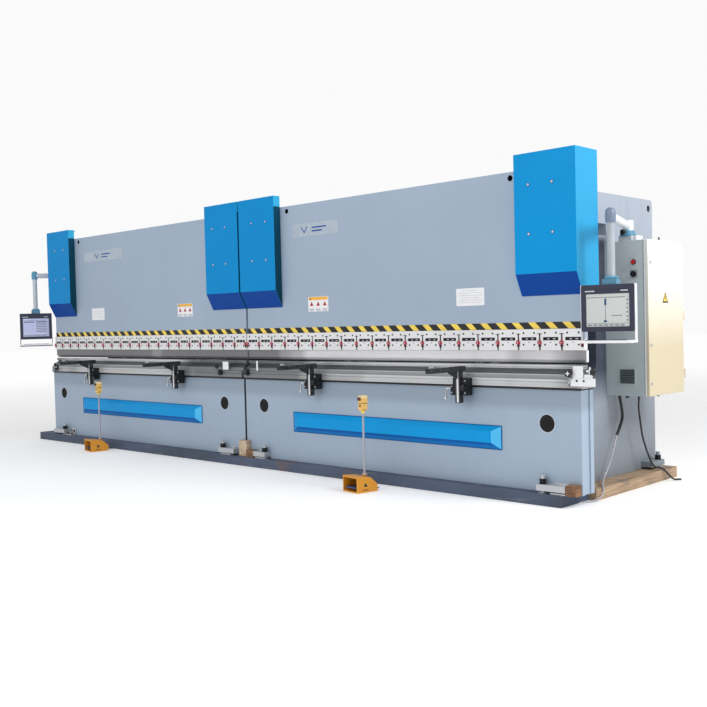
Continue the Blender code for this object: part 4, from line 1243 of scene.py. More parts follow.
def left_end_stop(x, rail_front):
    """Dark end plate and two star knobs at the open end of the left rail."""
    out = (0, -1, 0)
    plate = block((x - 0.006, rail_front - 0.008, 0.935), (x + 0.030, rail_front - 0.0006, 1.020), 0.002)
    piece("rail_stop_plate_left", [plate], "black", "root")
    knobs = [star_knob((x - 0.002, rail_front - 0.022, 1.012), out, 0.026, 0.020)]
    knobs.append(star_knob((x + 0.012, rail_front - 0.022, 0.950), out, 0.020, 0.020))
    piece("rail_stop_knobs_left", knobs, "black_plastic", "root")
    studs = [disc((x - 0.002, rail_front - 0.0082, 1.012), out, 0.007, 0.0135)]
    studs.append(disc((x + 0.012, rail_front - 0.0082, 0.950), out, 0.007, 0.0135))
    piece("rail_stop_studs_left", studs, "zinc", "root")


def middle_stops(rail_front):
    """Stops either side of the joint between the two machines."""
    out = (0, -1, 0)
    plate = block((-0.318, rail_front - 0.010, 1.001), (-0.226, rail_front - 0.002, 1.086), 0.002)
    bar = block((0.234, rail_front - 0.010, 0.999), (0.256, rail_front - 0.002, 1.098), 0.002)
    piece("middle_stop_plates", [plate, bar], "white", "root")
    spots = ((-0.402, 1.033, 0.026), (-0.357, 0.964, 0.026), (0.085, 1.045, 0.024), (0.090, 0.971, 0.024))
    knobs, studs = [], []
    for x, z, radius in spots:
        knobs.append(star_knob((x, rail_front - 0.018, z), out, radius, 0.020))
        studs.append(disc((x, rail_front - 0.0004, z), out, 0.008, 0.0172))
    piece("middle_stop_knobs", knobs, "black_plastic", "root")
    piece("middle_stop_studs", studs, "screw", "root")
    link = block((-0.412, rail_front - 0.0068, 0.945), (-0.335, rail_front - 0.0006, 1.0005), 0.002)
    joint = block((0.062, rail_front - 0.0068, 0.945), (0.110, rail_front - 0.0006, 1.020), 0.002)
    piece("middle_stop_blocks", [link, joint], "black", "root")


def dress_rails():
    right_bed, left_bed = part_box("die_bed_right"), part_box("die_bed_left")
    right_end_stop(right_bed[1].x + 0.004, right_bed[0].y)
    left_end_stop(left_bed[0].x + 0.140, left_bed[0].y)
    middle_stops(right_bed[0].y)
    strip = block((-0.05, 0.104, 1.115), (0.05, 0.110, 2.60), 0.001)
    piece("tandem_joint_strip", [strip], "screw", "root")
    filler = block((-0.0146, TABLE_FACE + 0.004, 0.120), (0.0146, TABLE_FACE + 0.014, 0.912), 0.001)
    piece("table_joint_filler", [filler], "screw", "root")
    guard = block((-0.2645, 0.800, 0.150), (0.2645, 0.803, 1.880), 0.001)
    piece("tandem_gap_guard", [guard], "rubber", "root")


# ---------------------------------------------------------------- control pendants
def pendant_screen(side, body, head, turn, face):
    """Screen glass and a generic working picture made of thin plates."""
    low, high = 1.391, 1.635
    half = 0.166
    glass = "screen_light" if side == "right" else "screen_lilac"
    panel = [block((-half, face - 0.0030, low), (half, face - 0.0005, high), 0.0008)]
    piece(f"screen_{side}", turn_about(panel, head, turn), glass, body)
    top, back = face - 0.0036, face - 0.0029
    dark, lines = [], []
    lines.append(block((-half + 0.006, top, high - 0.030), (half - 0.03, back, high - 0.024)))
    lines.append(block((-half + 0.006, top, low + 0.022), (half - 0.006, back, low + 0.026)))
    for step in range(6):
        level = low + 0.040 + step * 0.030
        lines.append(block((half - 0.022, top, level), (half - 0.008, back, level + 0.012)))
    for step in range(7):
        across = -half + 0.012 + step * 0.042
        lines.append(block((across, top, low + 0.006), (across + 0.030, back, low + 0.017)))
    if side == "right":
        dark.append(block((-0.024, top, high - 0.085), (-0.008, back, high - 0.036)))
        dark.append(block((-0.0175, top, low + 0.050), (-0.0145, back, high - 0.085)))
        dark.append(prism("Y", rounded_rectangle((-0.018, low + 0.040), (0.013, 0.008), 0.006), top, back))
        lines.append(block((0.030, top, low + 0.078), (0.112, back, low + 0.085)))
    else:
        dark.append(block((-half + 0.012, top, high - 0.052), (-0.02, back, high - 0.040)))
        dark.append(block((0.0, top, high - 0.052), (half - 0.030, back, high - 0.040)))
        for row in range(6):
            level = high - 0.072 - row * 0.022
            lines.append(block((0.0, top, level), (half - 0.030, back, level + 0.010)))
            lines.append(block((-half + 0.012, top, level), (-0.02, back, level + 0.002)))
    piece(f"screen_drawing_{side}", turn_about(dark, head, turn), "screen_dark", body)
    piece(f"screen_lines_{side}", turn_about(lines, head, turn), "screen_line", body)


def dress_pendant(side):
    """Bezel, screen, side trims, octagonal collar, tray edge and the elbow of one pendant."""
    panel_body, arm_body = f"pendant_panel_{side}", f"pendant_arm_{side}"
    turn_joint = JOINTS[f"pendant_panel_{side}_turn"]
    swing_joint = JOINTS[f"pendant_arm_{side}_swing"]
    head, arm_z, turn = pendant_head(side), turn_joint["pos_m"][2], PANEL_TURN[side]
    face = -0.085
    bottom, top = 1.355, 1.704
    middle_z = (bottom + top) / 2
    half = (0.205, (top - bottom) / 2)
    ring = ring_plate("Y", (0, 1.5275), (0.2035, half[1] - 0.002), 0.008, (0.0370, 0.0360), face - 0.0075, face - HAIR)
    brow = block((-0.168, face - 0.0075, 1.6355), (0.168, face - HAIR, 1.6670))
    piece(f"bezel_{side}", turn_about([ring, brow], head, turn), "bezel", panel_body)
    pendant_screen(side, panel_body, head, turn, face)
    marks = []
    for across, width in ((-0.115, 0.075), (0.150, 0.055)):
        spot = rounded_rectangle((across - 0.02, top - 0.048), (width / 2, 0.0045), 0.002)
        marks.append(prism("Y", spot, face - 0.0084, face - 0.0074))
    piece(f"bezel_marks_{side}", turn_about(marks, head, turn), "tube", panel_body)
    lip_low, lip_high = (1.2700, 1.2900) if side == "right" else (1.2610, 1.2715)
    lip = [block((-0.2085, face - 0.0805, lip_low), (0.2085, face - 0.0755, lip_high), 0.0015)]
    piece(f"tray_lip_{side}", turn_about(lip, head, turn), "white" if side == "right" else "bezel", panel_body)
    if side == "right":
        strips = [block((end * 0.2085 - 0.0018, face - 0.0030, 1.2925), (end * 0.2085 + 0.0018, face + 0.003, top - 0.002)) for end in ENDS]
        piece("housing_edges_right", turn_about(strips, head, turn), "white", panel_body)
    pad = []
    for row in range(3):
        for column in range(9):
            spot = (-0.14 + column * 0.035, face - 0.056 + row * 0.018, 1.2925)
            pad.append(slab(spot, (0.026, 0.013, 0.0045), 0.0012))
    piece(f"key_pad_{side}", turn_about(pad, head, turn), "bezel", panel_body)
    vents = []
    for row in range(8):
        vents.append(slab((0, -0.0292, middle_z - 0.10 + row * 0.016), (0.24, 0.0012, 0.006), 0.0004))
    piece(f"housing_vents_{side}", turn_about(vents, head, turn), "black_plastic", panel_body)
    collar = [(0.0300, 0), (0.052, 0), (0.055, 0.004), (0.055, 0.012), (0.044, 0.020), (0.0300, 0.020), (0.0300, 0)]
    octagon = turned(collar, (0, 0, 1.7465), (0, 0, 1), 8)
    bmesh.ops.rotate(octagon, verts=octagon.verts, matrix=Matrix.Rotation(math.pi / 8, 3, "Z"))
    piece(f"pendant_collar_{side}", turn_about([octagon], head, turn), "teal", panel_body)
    dome = [
        (0.0345, -0.049), (0.0370, -0.049), (0.0390, -0.036), (0.0400, 0.0), (0.0395, 0.018), (0.0375, 0.034),
        (0.0330, 0.046), (0.0250, 0.056), (0.0140, 0.062), (0, 0.064), (0, 0.0505), (0.0345, 0.0505), (0.0345, -0.049),
    ]
    elbow = turned(dome, (head.x, head.y, arm_z), (0, 0, 1), 28)
    piece(f"pendant_elbow_{side}", [elbow], "teal" if side == "left" else "elbow", arm_body)
    pivot = Vector(swing_joint["pos_m"])
    flange = [(0.0465, 0), (0.070, 0), (0.070, 0.012), (0.056, 0.018), (0.052, 0.044), (0.0465, 0.046), (0.0465, 0)]
    base = turned(flange, (pivot.x, pivot.y, 2.1312), (0, 0, 1), 28)
    piece(f"pendant_pivot_{side}", [base], "teal", arm_body)
    spot = Vector((pivot.x, pivot.y - 0.0525, 2.160))
    stem = disc(spot, (0, -1, 0), 0.008, 0.030)
    piece(f"pendant_brake_stem_{side}", [stem], "zinc", arm_body)
    knob = star_knob(spot + Vector((0, -0.0305, 0)), (0, -1, 0), 0.026, 0.022, 3)
    piece(f"pendant_brake_knob_{side}", [knob], "black_plastic", arm_body)


# ---------------------------------------------------------------- electrical cabinet
def cabinet_front(cabinet, front):
    """Louvred vent, button collars, switch plate and the folded door edge."""
    out = (0, -1, 0)
    vent_x, vent_z = 3.9285, 0.963
    half = (0.0765, 0.071)
    rim = ring_plate("Y", (vent_x, vent_z), half, 0.004, (0.010, 0.010), front - 0.005, front - HAIR)
    piece("vent_frame", [rim], "cabinet", "root")
    backing = block((vent_x - 0.066, front - 0.0012, vent_z - 0.060), (vent_x + 0.066, front - HAIR, vent_z + 0.060))
    piece("vent_backing", [backing], "black_plastic", "root")
    slats = []
    for row in range(7):
        z = vent_z - 0.054 + row * 0.018
        outline = [(front - 0.0015, z + 0.006), (front - 0.0075, z - 0.003), (front - 0.0065, z - 0.005), (front - 0.0015, z + 0.003)]
        slats.append(prism("X", outline, vent_x - 0.0655, vent_x + 0.0655))
    piece("vent_slats", slats, "seam", "root")
    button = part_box("red_button")
    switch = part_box("main_switch_knob")
    spot = middle(button)
    ring = [(0.0165, 0), (0.022, 0), (0.022, 0.006), (0.020, 0.008), (0.0165, 0.008), (0.0165, 0)]
    piece("button_collar", [turned(ring, (spot.x, front - HAIR, spot.z), out, 28)], "black_plastic", "root")
    switch_spot = middle(switch)
    plate = ring_plate("Y", (switch_spot.x, switch_spot.z), (0.033, 0.033), 0.006, (0.007, 0.007), front - 0.0022, front - HAIR)
    piece("switch_plate", [plate], "zinc", "root")
    seam = block((cabinet[1].x - 0.0165, front - 0.0012, cabinet[0].z + 0.004), (cabinet[1].x - 0.0135, front - 0.0001, 2.086))
    piece("cabinet_seam", [seam], "seam", "root")
    strip = block((cabinet[1].x - 0.0125, front - 0.0022, cabinet[0].z + 0.001), (cabinet[1].x - 0.0005, front - 0.0002, 2.089), 0.0008)
    piece("cabinet_edge_fold", [strip], "white", "root")


def cabinet_door(door):
    """Quarter-turn locks, hazard triangle, hinge barrels and the inner seal."""
    out = (1, 0, 0)
    face = door[1].x
    body = "cabinet_door"
    locks, slots = [], []
    lock = [(0, 0), (0.016, 0), (0.016, 0.003), (0.012, 0.006), (0.0065, 0.006), (0.0065, 0.002), (0, 0.002)]
    for z in (1.904, 1.225, 0.905):
        spot = Vector((face + HAIR, door[0].y + 0.035, z))
        locks.append(turned(lock, spot, out, 24))
        slots.append(slab(spot + Vector((0.0035, 0, 0)), (0.004, 0.003, 0.012)))
    piece("door_locks", locks, "zinc", body)
    piece("door_lock_keys", slots, "screw", body)
    centre = (middle(door).y - 0.02, 1.600)
    piece("door_triangle", [triangle_plate(centre, 0.105, face + 0.0002, face + 0.0010, "X")], "yellow", body)
    rim = triangle_plate(centre, 0.105, face + 0.0010, face + 0.0014, "X")
    inner = triangle_plate((centre[0], centre[1] + 0.002), 0.070, face + 0.0014, face + 0.0018, "X")
    piece("door_triangle_border", [rim], "ink", body)
    piece("door_triangle_field", [inner], "yellow", body)
    bolt = [
        (centre[0] - 0.004, centre[1] + 0.026), (centre[0] + 0.006, centre[1] + 0.026),
        (centre[0] + 0.001, centre[1] + 0.008), (centre[0] + 0.008, centre[1] + 0.008),
        (centre[0] - 0.006, centre[1] - 0.018), (centre[0] - 0.001, centre[1] + 0.002),
        (centre[0] - 0.008, centre[1] + 0.002),
    ]
    piece("door_flash_mark", [prism("X", bolt, face + 0.0018, face + 0.0022)], "ink", body)
    hinge = JOINTS["cabinet_door_swing"]["pos_m"]
    barrels = []
    pin = [(0, 0), (0.0055, 0), (0.0055, 0.078), (0, 0.080)]
    for z in (0.92, 1.42, 1.93):
        barrels.append(turned(pin, (hinge[0] + 0.0045, hinge[1] + 0.0045, z), (0, 0, 1), 16))
    piece("door_hinge_barrels", barrels, "door", body)
    inside = door[0].x
    seal = ring_plate(
        "X", (middle(door).y, middle(door).z), (0.288, 0.610), 0.012, (0.012, 0.012),
        inside - 0.0068, inside - 0.0004,
    )
    piece("door_seal", [seal], "rubber", body)
    ribs = []
    for z in (1.10, 1.445, 1.79):
        ribs.append(slab((inside - 0.006, middle(door).y, z), (0.0112, 0.50, 0.030), 0.002))
    piece("door_ribs", ribs, "cabinet", body)


def cabinet_inside(cabinet):
    """Mounting plate with wire ducts, breakers, contactors, a drive and a transformer."""
    back = cabinet[0].x + 0.022
    y0, y1 = cabinet[0].y + 0.045, cabinet[1].y - 0.045
    plate = block((back, y0, 0.87), (back + 0.004, y1, 2.03), 0.001)
    piece("mounting_plate", [plate], "zinc", "root")
    face = back + 0.0045
    ducts, rails, modules, relays, tags = [], [], [], [], []
    for z in (0.93, 1.19, 1.45, 1.71, 1.97):
        ducts.append(block((face, y0 + 0.01, z - 0.022), (face + 0.055, y1 - 0.01, z + 0.022), 0.002))
    for z in (1.06, 1.32, 1.58, 1.84):
        rails.append(block((face, y0 + 0.03, z - 0.017), (face + 0.008, y1 - 0.03, z + 0.017)))
    rail_face = face + 0.0085
    for index in range(12):
        y = y0 + 0.05 + index * 0.038
        modules.append(block((rail_face, y, 1.795), (rail_face + 0.062, y + 0.034, 1.885), 0.002))
        tags.append(block((rail_face + 0.0622, y + 0.010, 1.832), (rail_face + 0.0700, y + 0.024, 1.850), 0.001))
    for index in range(7):
        y = y0 + 0.05 + index * 0.066
        relays.append(block((rail_face, y, 1.535), (rail_face + 0.080, y + 0.056, 1.625), 0.003))
    for index in range(22):
        y = y0 + 0.05 + index * 0.0205
        modules.append(block((rail_face, y, 1.290), (rail_face + 0.045, y + 0.0175, 1.352), 0.0015))
    drive = block((rail_face, y0 + 0.05, 1.005), (rail_face + 0.15, y0 + 0.23, 1.120), 0.004)
    transformer = block((rail_face, y0 + 0.30, 1.010), (rail_face + 0.12, y0 + 0.46, 1.110), 0.004)
    piece("wire_ducts", ducts, "cabinet", "root")
    piece("din_rails", rails, "zinc", "root")
    piece("breakers_and_terminals", modules, "sheet_white", "root")
    piece("breaker_toggles", tags, "ink", "root")
    piece("contactors", relays, "black_plastic", "root")
    piece("servo_drive", [drive], "bezel", "root")
    piece("transformer", [transformer], "copper", "root")
    wires = []
    for index in range(8):
        y = y0 + 0.07 + index * 0.055
        path = smooth_path([
            Vector((rail_face + 0.05, y, 1.628)), Vector((rail_face + 0.075, y + 0.004, 1.66)),
            Vector((rail_face + 0.045, y + 0.010, 1.69)),
        ], 5)
        wires.append(tube(path, 0.0022, 6))
    piece("cabinet_wires", wires, "label_red", "root")


def cable_run(name, points, radius, material):
    piece(name, [tube(smooth_path(points, 10), radius, 10)], material, "root")


def dress_cabinet():
    cabinet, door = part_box("cabinet_body"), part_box("cabinet_door")
    front = cabinet[0].y
    cabinet_front(cabinet, front)
    cabinet_door(door)
    cabinet_inside(cabinet)
    top = 2.09
    loop = []
    for step in range(20):
        angle = 2 * math.pi * step / 20
        loop.append(Vector((4.075, 1.10 + 0.012 * math.cos(angle), top + 0.019 + 0.012 * math.sin(angle))))
    eye = [tube(loop, 0.0035, 8), disc((4.075, 1.10, top + 0.0004), (0, 0, 1), 0.011, 0.0075)]
    piece("lifting_eye", eye, "screw", "root")
    bracket = slab((3.985, 0.872, top + 0.021), (0.065, 0.11, 0.038), 0.003)
    piece("arm_socket_plate", [bracket], "white", "root")
    glands = []
    low = cabinet[0].z
    spots = [(3.785, 0.93), (3.855, 0.93), (3.905, 1.04), (3.80, 1.20), (4.00, 1.20)]
    gland = [(0, 0), (0.020, 0), (0.020, 0.012), (0.015, 0.014), (0.013, 0.028), (0, 0.028)]
    for x, y in spots:
        glands.append(turned(gland, (x, y, low - HAIR), (0, 0, -1), 12))
    piece("cable_glands", glands, "black_plastic", "root")
    cable_run("power_conduit", [
        (3.785, 0.93, 0.771), (3.785, 0.955, 0.69), (3.785, 0.968, 0.60), (3.795, 0.90, 0.52), (3.798, 0.84, 0.46),
    ], 0.0125, "rubber")
    cable_run("power_cable", [
        (3.798, 0.845, 0.47), (3.80, 0.77, 0.34), (3.80, 0.694, 0.222), (3.83, 0.56, 0.145),
        (3.905, 0.40, 0.112), (3.950, 0.325, 0.060), (3.945, 0.26, 0.024), (3.925, 0.20, 0.011), (3.880, 0.13, 0.009),
    ], 0.0075, "braid")
    cable_run("sensor_cable", [
        (3.905, 1.04, 0.771), (3.885, 1.07, 0.68), (3.860, 1.142, 0.564), (3.850, 1.21, 0.40), (3.862, 1.30, 0.22),
        (3.880, 1.36, 0.135), (3.925, 1.43, 0.108), (3.962, 1.47, 0.050), (3.99, 1.51, 0.012), (4.03, 1.56, 0.009),
    ], 0.008, "rubber")


# ---------------------------------------------------------------- foot stations
def dress_station(side):
    """Warning triangle, pedal ribs, stop-box details and the cable gland of one station."""
    pedal_joint = JOINTS[f"pedal_{side}_press"]
    axis = pedal_joint["axis"]
    turn = math.atan2(axis[1], axis[0])
    back = Matrix.Rotation(turn, 3, "Z") @ Vector((0, -0.080, 0))
    origin = Vector((pedal_joint["pos_m"][0] + back.x, pedal_joint["pos_m"][1] + back.y, 0.0))
    hood = 0.105
    sign = [triangle_plate((-0.020, 0.062), 0.060, hood + 0.0003, hood + 0.0010, "X")]
    piece(f"hood_sign_{side}", turn_about(sign, origin, turn), "label_orange", "root")
    mark = [triangle_plate((-0.020, 0.062), 0.044, hood + 0.0010, hood + 0.0016, "X")]
    mark.append(block((hood + 0.0003, -0.052, 0.020), (hood + 0.0010, 0.008, 0.026)))
    piece(f"hood_mark_{side}", turn_about(mark, origin, turn), "ink", "root")
    feet = []
    for across in ENDS:
        for along in (-0.085, 0.085):
            feet.append(disc((across * 0.085, along, 0.0104), (0, 0, 1), 0.009, 0.004))
    piece(f"hood_bolts_{side}", turn_about(feet, origin, turn), "zinc", "root")
    ribs = []
    for row in range(7):
        y = -0.095 + row * 0.020
        ribs.append(slab((0, y, 0.0492), (0.130, 0.007, 0.0028), 0.0008))
    piece(f"pedal_ribs_{side}", turn_about(ribs, origin, turn), "rubber", f"pedal_{side}")
    post = [(0.0105, 0), (0.024, 0), (0.024, 0.006), (0.014, 0.020), (0.0105, 0.020), (0.0105, 0)]
    foot = [turned(post, (0, 0.050, 0.1335), (0, 0, 1), 20)]
    piece(f"post_collar_{side}", turn_about(foot, origin, turn), "station", "root")
    neck = [(0.0105, 0), (0.016, 0.004), (0.020, 0.026), (0.0105, 0.027), (0.0105, 0)]
    top = [turned(neck, (0, 0.050, 0.6725), (0, 0, 1), 20)]
    piece(f"post_neck_{side}", turn_about(top, origin, turn), "yellow", "root")
    band = [ring_plate("Z", (0, 0.050), (0.0302, 0.0312), 0.006, (0.0010, 0.0010), 0.760, 0.764)]
    piece(f"stop_box_seam_{side}", turn_about(band, origin, turn), "ink", "root")
    dot = [disc((0.0, 0.0198, 0.742), (0, -1, 0), 0.0085, 0.006, 0.0015, 20)]
    piece(f"stop_box_button_{side}", turn_about(dot, origin, turn), "black_plastic", "root")
    lead = smooth_path([Vector((0.0, 0.118, 0.030)), Vector((0.0, 0.150, 0.014)), Vector((0.01, 0.20, 0.0065))], 6)
    gland = [disc((0, 0.1104, 0.032), (0, 1, 0), 0.011, 0.014)]
    piece(f"pedal_gland_{side}", turn_about(gland, origin, turn), "black_plastic", "root")
    piece(f"pedal_lead_{side}", turn_about([tube(lead, 0.0045, 8)], origin, turn), "rubber", "root")


# ---------------------------------------------------------------- hydraulics and back gauge
def dress_tank(side):
    """Sight glass, filler cap, valve manifold, pipes and cleaning cover of one tank."""
    tank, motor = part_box(f"oil_tank_{side}"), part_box(f"pump_motor_{side}")
    centre = middle(tank).x
    back = tank[1].y
    tank_top = 2.45
    up, rear = (0, 0, 1), (0, 1, 0)
    cover = ring_plate("Y", (centre + 0.55, middle(tank).z - 0.03), (0.26, 0.16), 0.02, (0.24, 0.14), back + HAIR, back + 0.008)
    piece(f"tank_cover_{side}", [cover], "tank", "root")
    bolts = []
    for across in (-0.23, -0.08, 0.08, 0.23):
        for level in (-0.135, 0.135):
            spot = (centre + 0.55 + across, back + 0.0084, middle(tank).z - 0.03 + level)
            bolts.append(socket_screw(spot, rear, 0.009, 0.008))
    piece(f"tank_cover_bolts_{side}", bolts, "zinc", "root")
    gauge = ring_plate("Y", (centre - 0.30, middle(tank).z), (0.022, 0.080), 0.008, (0.008, 0.012), back + HAIR, back + 0.016)
    piece(f"sight_gauge_frame_{side}", [gauge], "black_plastic", "root")
    glass = slab((centre - 0.30, back + 0.006, middle(tank).z), (0.026, 0.010, 0.134), 0.002)
    piece(f"sight_gauge_glass_{side}", [glass], "oil_glass", "root")
    cap = star_knob((centre - 1.0, middle(tank).y, tank_top + 0.0505), up, 0.055, 0.035, 8)
    piece(f"filler_cap_{side}", [cap], "black_plastic", "root")
    fins = []
    axis_z = motor[0].z + 0.14
    for index in range(9):
        x = centre - 0.16 + index * 0.035
        fin = [(0.1105, 0), (0.124, 0), (0.124, 0.006), (0.1105, 0.006), (0.1105, 0)]
        fins.append(turned(fin, (x, middle(tank).y, axis_z), (1, 0, 0), 32))
    piece(f"motor_fins_{side}", fins, "blue", "root")
    cowl = [(0, 0), (0.118, 0), (0.122, 0.006), (0.122, 0.055), (0.1105, 0.060), (0.1105, 0.020), (0, 0.018)]
    piece(f"motor_cowl_{side}", [turned(cowl, (centre - 0.2205, middle(tank).y, axis_z), (1, 0, 0), 32)], "black_plastic", "root")
    pipes, unions = [], []
    for number, end in enumerate(ENDS):
        index = {"left": 1, "right": 3}[side] + number
        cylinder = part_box(f"cylinder_{index}")
        x = middle(cylinder).x
        for lane, reach in enumerate((0.34, 0.44)):
            y = 0.86 + 0.05 * lane
            level = 2.50 + 0.035 * lane
            run_x = x - end * reach
            entry = Vector((x - end * (0.04 + 0.05 * lane), 0.246, 2.38 - 0.10 * lane))
            points = [
                (centre + end * 0.42, y, tank_top + 0.002),
                (centre + end * 0.42, y, level),
                (run_x, y, level),
                (run_x, 0.38, level),
                (run_x, 0.38, entry.z),
                (entry.x, 0.38, entry.z),
                entry,
            ]
            pipes.append(tube(bent_path(points, 0.045), 0.011 if lane else 0.014, 10))
            unions.append(disc(entry + Vector((0, 0.0005, 0)), (0, 1, 0), 0.026, 0.022))
            unions.append(disc((centre + end * 0.42, y, tank_top + 0.0015), (0, 0, 1), 0.024, 0.020))
    piece(f"hydraulic_pipes_{side}", pipes, "zinc", "root")
    piece(f"pipe_unions_{side}", unions, "steel", "root")
    manifold = slab((centre + 0.62, 0.95, tank_top + 0.056), (0.22, 0.14, 0.110), 0.004)
    piece(f"valve_manifold_{side}", [manifold], "steel", "root")
    coils = []
    for across in (-0.06, 0.0, 0.06):
        coils.append(slab((centre + 0.62 + across, 0.95, tank_top + 0.141), (0.045, 0.050, 0.058), 0.006))
        coils.append(disc((centre + 0.62 + across, 0.95, tank_top + 0.1704), up, 0.016, 0.020))
    piece(f"valve_coils_{side}", coils, "black_plastic", "root")


def dress_cylinder(number):
    """Gland ring and tie bolts of one cylinder."""
    low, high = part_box(f"cylinder_{number}")
    x, y = middle((low, high)).x, 0.03
    ring = [(0.0625, 0), (0.1035, 0), (0.1035, 0.008), (0.0625, 0.008), (0.0625, 0)]
    piece(f"gland_ring_{number}", [turned(ring, (x, y, 1.9365), (0, 0, 1), 32)], "zinc", "root")
    bolts = []
    for step in range(8):
        if step % 4 == 0:
            continue  # the ram's shoulder rises between these two
        angle = 2 * math.pi * step / 8
        spot = (x + 0.084 * math.cos(angle), y + 0.084 * math.sin(angle), 1.9362)
        bolts.append(socket_screw(spot, (0, 0, -1), 0.007, 0.008))
    piece(f"gland_bolts_{number}", bolts, "screw", "root")


def dress_gauge(side):
    """Linear rails, ball screws, bearing blocks, finger guide and scale of one back gauge."""
    base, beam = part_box(f"gauge_slideway_{side}"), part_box(f"gauge_beam_{side}")
    centre = middle(base).x
    rails, screws, nuts = [], [], []
    for end in ENDS:
        x = centre + end * 1.10
        rails.append(block((x + end * 0.0415, base[0].y + 0.02, 0.842), (x + end * 0.0500, base[1].y - 0.02, 0.862), 0.001) if end > 0
                     else block((x - 0.0500, base[0].y + 0.02, 0.842), (x - 0.0415, base[1].y - 0.02, 0.862), 0.001))
        thread = []
        inner = x - end * 0.075
        thread.append((0, 0))
        thread.append((0.010, 0))
        for turn_index in range(90):
            along = 0.005 + turn_index * 0.010
            thread += [(0.010, along), (0.0125, along + 0.003), (0.0125, along + 0.006), (0.010, along + 0.009)]
        thread += [(0.010, 0.92), (0, 0.92)]
        screws.append(turned(thread, (inner, 0.19, 0.850), (0, 1, 0), 12))
        nuts.append(slab((inner, 0.16, 0.850), (0.06, 0.05, 0.07), 0.004))
        nuts.append(slab((inner, 1.165, 0.915), (0.08, 0.065, 0.085), 0.006))
    piece(f"gauge_rails_{side}", rails, "chrome", "root")
    piece(f"gauge_screws_{side}", screws, "chrome", "root")
    piece(f"gauge_bearings_{side}", nuts, "black", "root")
    guide = block((centre - 1.64, 0.642, 1.0403), (centre + 1.64, 0.672, 1.090), 0.002)
    piece(f"finger_guide_{side}", [guide], "black", f"back_gauge_{side}")
    strip = slab((centre, beam[1].y + 0.0012, 1.005), (2.90, 0.0018, 0.045), 0.0005)
    piece(f"gauge_scale_{side}", [strip], "yellow", f"back_gauge_{side}")
    ticks = []
    for index in range(59):
        x = centre - 1.45 + index * 0.05
        tall = 0.018 if index % 2 else 0.030
        ticks.append(block((x - 0.0008, beam[1].y + 0.0020, 1.026 - tall), (x + 0.0008, beam[1].y + 0.0027, 1.026)))
    piece(f"gauge_ticks_{side}", ticks, "ink", f"back_gauge_{side}")


def dress_finger(number):
    """Clamp screw and side knob of one stop finger."""
    body = f"gauge_finger_{number}"
    low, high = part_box(body)
    x = middle((low, high)).x
    knob = star_knob((x, 0.600, 1.0815), (0, 0, 1), 0.020, 0.020)
    piece(f"finger_knob_{number}", [knob], "black_plastic", body)
    screws = [socket_screw((x + across * 0.012, 0.27, 1.1182), (0, 0, 1), 0.0045, 0.004) for across in ENDS]
    piece(f"finger_screws_{number}", screws, "screw", body)


def dress_rear():
    """Levelling nuts of the rear feet and the bushes of the side frames' lifting holes."""
    for number in range(1, 5):
        outward = -1 if number in (1, 3) else 1
        machine = -2.0 if number < 3 else 2.0
        outer_face = machine + outward * 1.735
        frame_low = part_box(f"side_frame_{number}")[0].z
        levelling_foot(f"frame_foot_{number}", outer_face + outward * 0.07, 1.58, 0.165, frame_low)
        start = (outer_face - outward * 0.012, 1.61, 2.43)
        piece(f"lifting_hole_plug_{number}", [disc(start, (outward, 0, 0), 0.0295, 0.006)], "screw", "root")


# ---------------------------------------------------------------- stage
def make_floor():
    graph = Graph("studio_floor")
    tone = graph.blend(graph.band(graph.noise(0.6), 0.4, 0.6), (0.90, 0.90, 0.90), (0.92, 0.92, 0.92))
    away = graph.add("ShaderNodeVectorMath", {0: graph.coordinates()}, operation="LENGTH").outputs["Value"]
    seen = graph.add("ShaderNodeLightPath").outputs["Is Camera Ray"]
    lift = graph.maths("MULTIPLY", graph.band(away, 6.0, 20.0, 0.06, 0.30), seen)
    glow = graph.maths("ADD", lift, 0.12)
    material = graph.finish(tone, 0.9, Emission_Color=(1.0, 1.0, 1.0), Emission_Strength=glow)
    mesh = bpy.data.meshes.new("studio_floor")
    reach = 60.0
    mesh.from_pydata([(-reach, -reach, 0), (reach, -reach, 0), (reach, reach, 0), (-reach, reach, 0)], [], [(0, 1, 2, 3)])
    mesh.materials.append(material)
    floor = bpy.data.objects.new("studio_floor", mesh)
    floor.location.z = -0.0005
    bpy.context.scene.collection.objects.link(floor)


def area_light(name, location, target, size, power, colour=(1, 1, 1)):
    light = bpy.data.lights.new(name, "AREA")
    light.shape = "RECTANGLE"
    light.size, light.size_y = size
    light.energy = power
    light.color = colour
    lamp = bpy.data.objects.new(name, light)
    lamp.location = location
    lamp.rotation_euler = (Vector(target) - Vector(location)).to_track_quat("-Z", "Y").to_euler()
    bpy.context.scene.collection.objects.link(lamp)


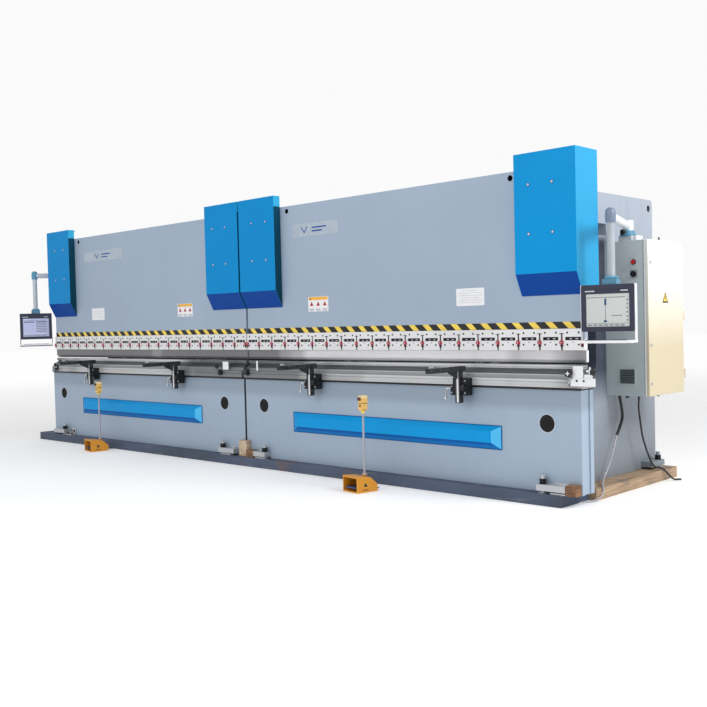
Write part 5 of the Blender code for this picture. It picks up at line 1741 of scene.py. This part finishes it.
def make_world():
    """Soft white light all round, in front of a plain near-white backdrop."""
    world = bpy.data.worlds.new("studio")
    world.use_nodes = True
    tree = world.node_tree
    tree.nodes["Background"].inputs["Strength"].default_value = 0.62
    backdrop = tree.nodes.new("ShaderNodeBackground")
    backdrop.inputs["Color"].default_value = (0.96, 0.96, 0.96, 1.0)
    tree.nodes["Background"].inputs["Color"].default_value = (1.0, 1.0, 1.0, 1.0)
    path, mix = tree.nodes.new("ShaderNodeLightPath"), tree.nodes.new("ShaderNodeMixShader")
    tree.links.new(path.outputs["Is Camera Ray"], mix.inputs[0])
    tree.links.new(tree.nodes["Background"].outputs[0], mix.inputs[1])
    tree.links.new(backdrop.outputs[0], mix.inputs[2])
    tree.links.new(mix.outputs[0], tree.nodes["World Output"].inputs["Surface"])
    bpy.context.scene.world = world


def make_lights():
    area_light("front_key", (1.0, -9.0, 6.5), (0.0, 0.0, 1.2), (9.0, 4.0), 300)
    area_light("right_fill", (9.0, 0.6, 5.2), (3.9, 0.6, 2.2), (2.5, 2.5), 320)
    bpy.context.scene.view_settings.view_transform = "Standard"


def make_camera():
    yaw, pitch, roll = CAMERA["yaw"], CAMERA["pitch"], CAMERA["roll"]
    forward = Vector((-math.sin(yaw) * math.cos(pitch), math.cos(yaw) * math.cos(pitch), math.sin(pitch)))
    right = Vector((math.cos(yaw), math.sin(yaw), 0))
    up = right.cross(forward)
    turned_right = right * math.cos(roll) + up * math.sin(roll)
    turned_up = up * math.cos(roll) - right * math.sin(roll)
    camera = bpy.data.cameras.new("camera")
    camera.lens = CAMERA["lens"]
    camera.clip_end = 200
    holder = bpy.data.objects.new("camera", camera)
    axes = Matrix((turned_right, turned_up, -forward)).transposed()
    holder.matrix_world = Matrix.Translation(CAMERA["location"]) @ axes.to_4x4()
    bpy.context.scene.collection.objects.link(holder)
    bpy.context.scene.camera = holder


def main():
    finish_nodes()
    for side in SIDES:
        dress_ram(side)
        dress_table(side)
        dress_pendant(side)
        dress_station(side)
        dress_tank(side)
        dress_gauge(side)
    for number in range(1, 5):
        dress_cover(number)
        dress_support(number)
        dress_cylinder(number)
        dress_finger(number)
    dress_rails()
    dress_cabinet()
    dress_rear()
    dress_feet()
    make_floor()
    make_world()
    make_lights()
    make_camera()


MATERIALS = {**machine_paints(), **metal_materials(), **soft_materials()}
main()
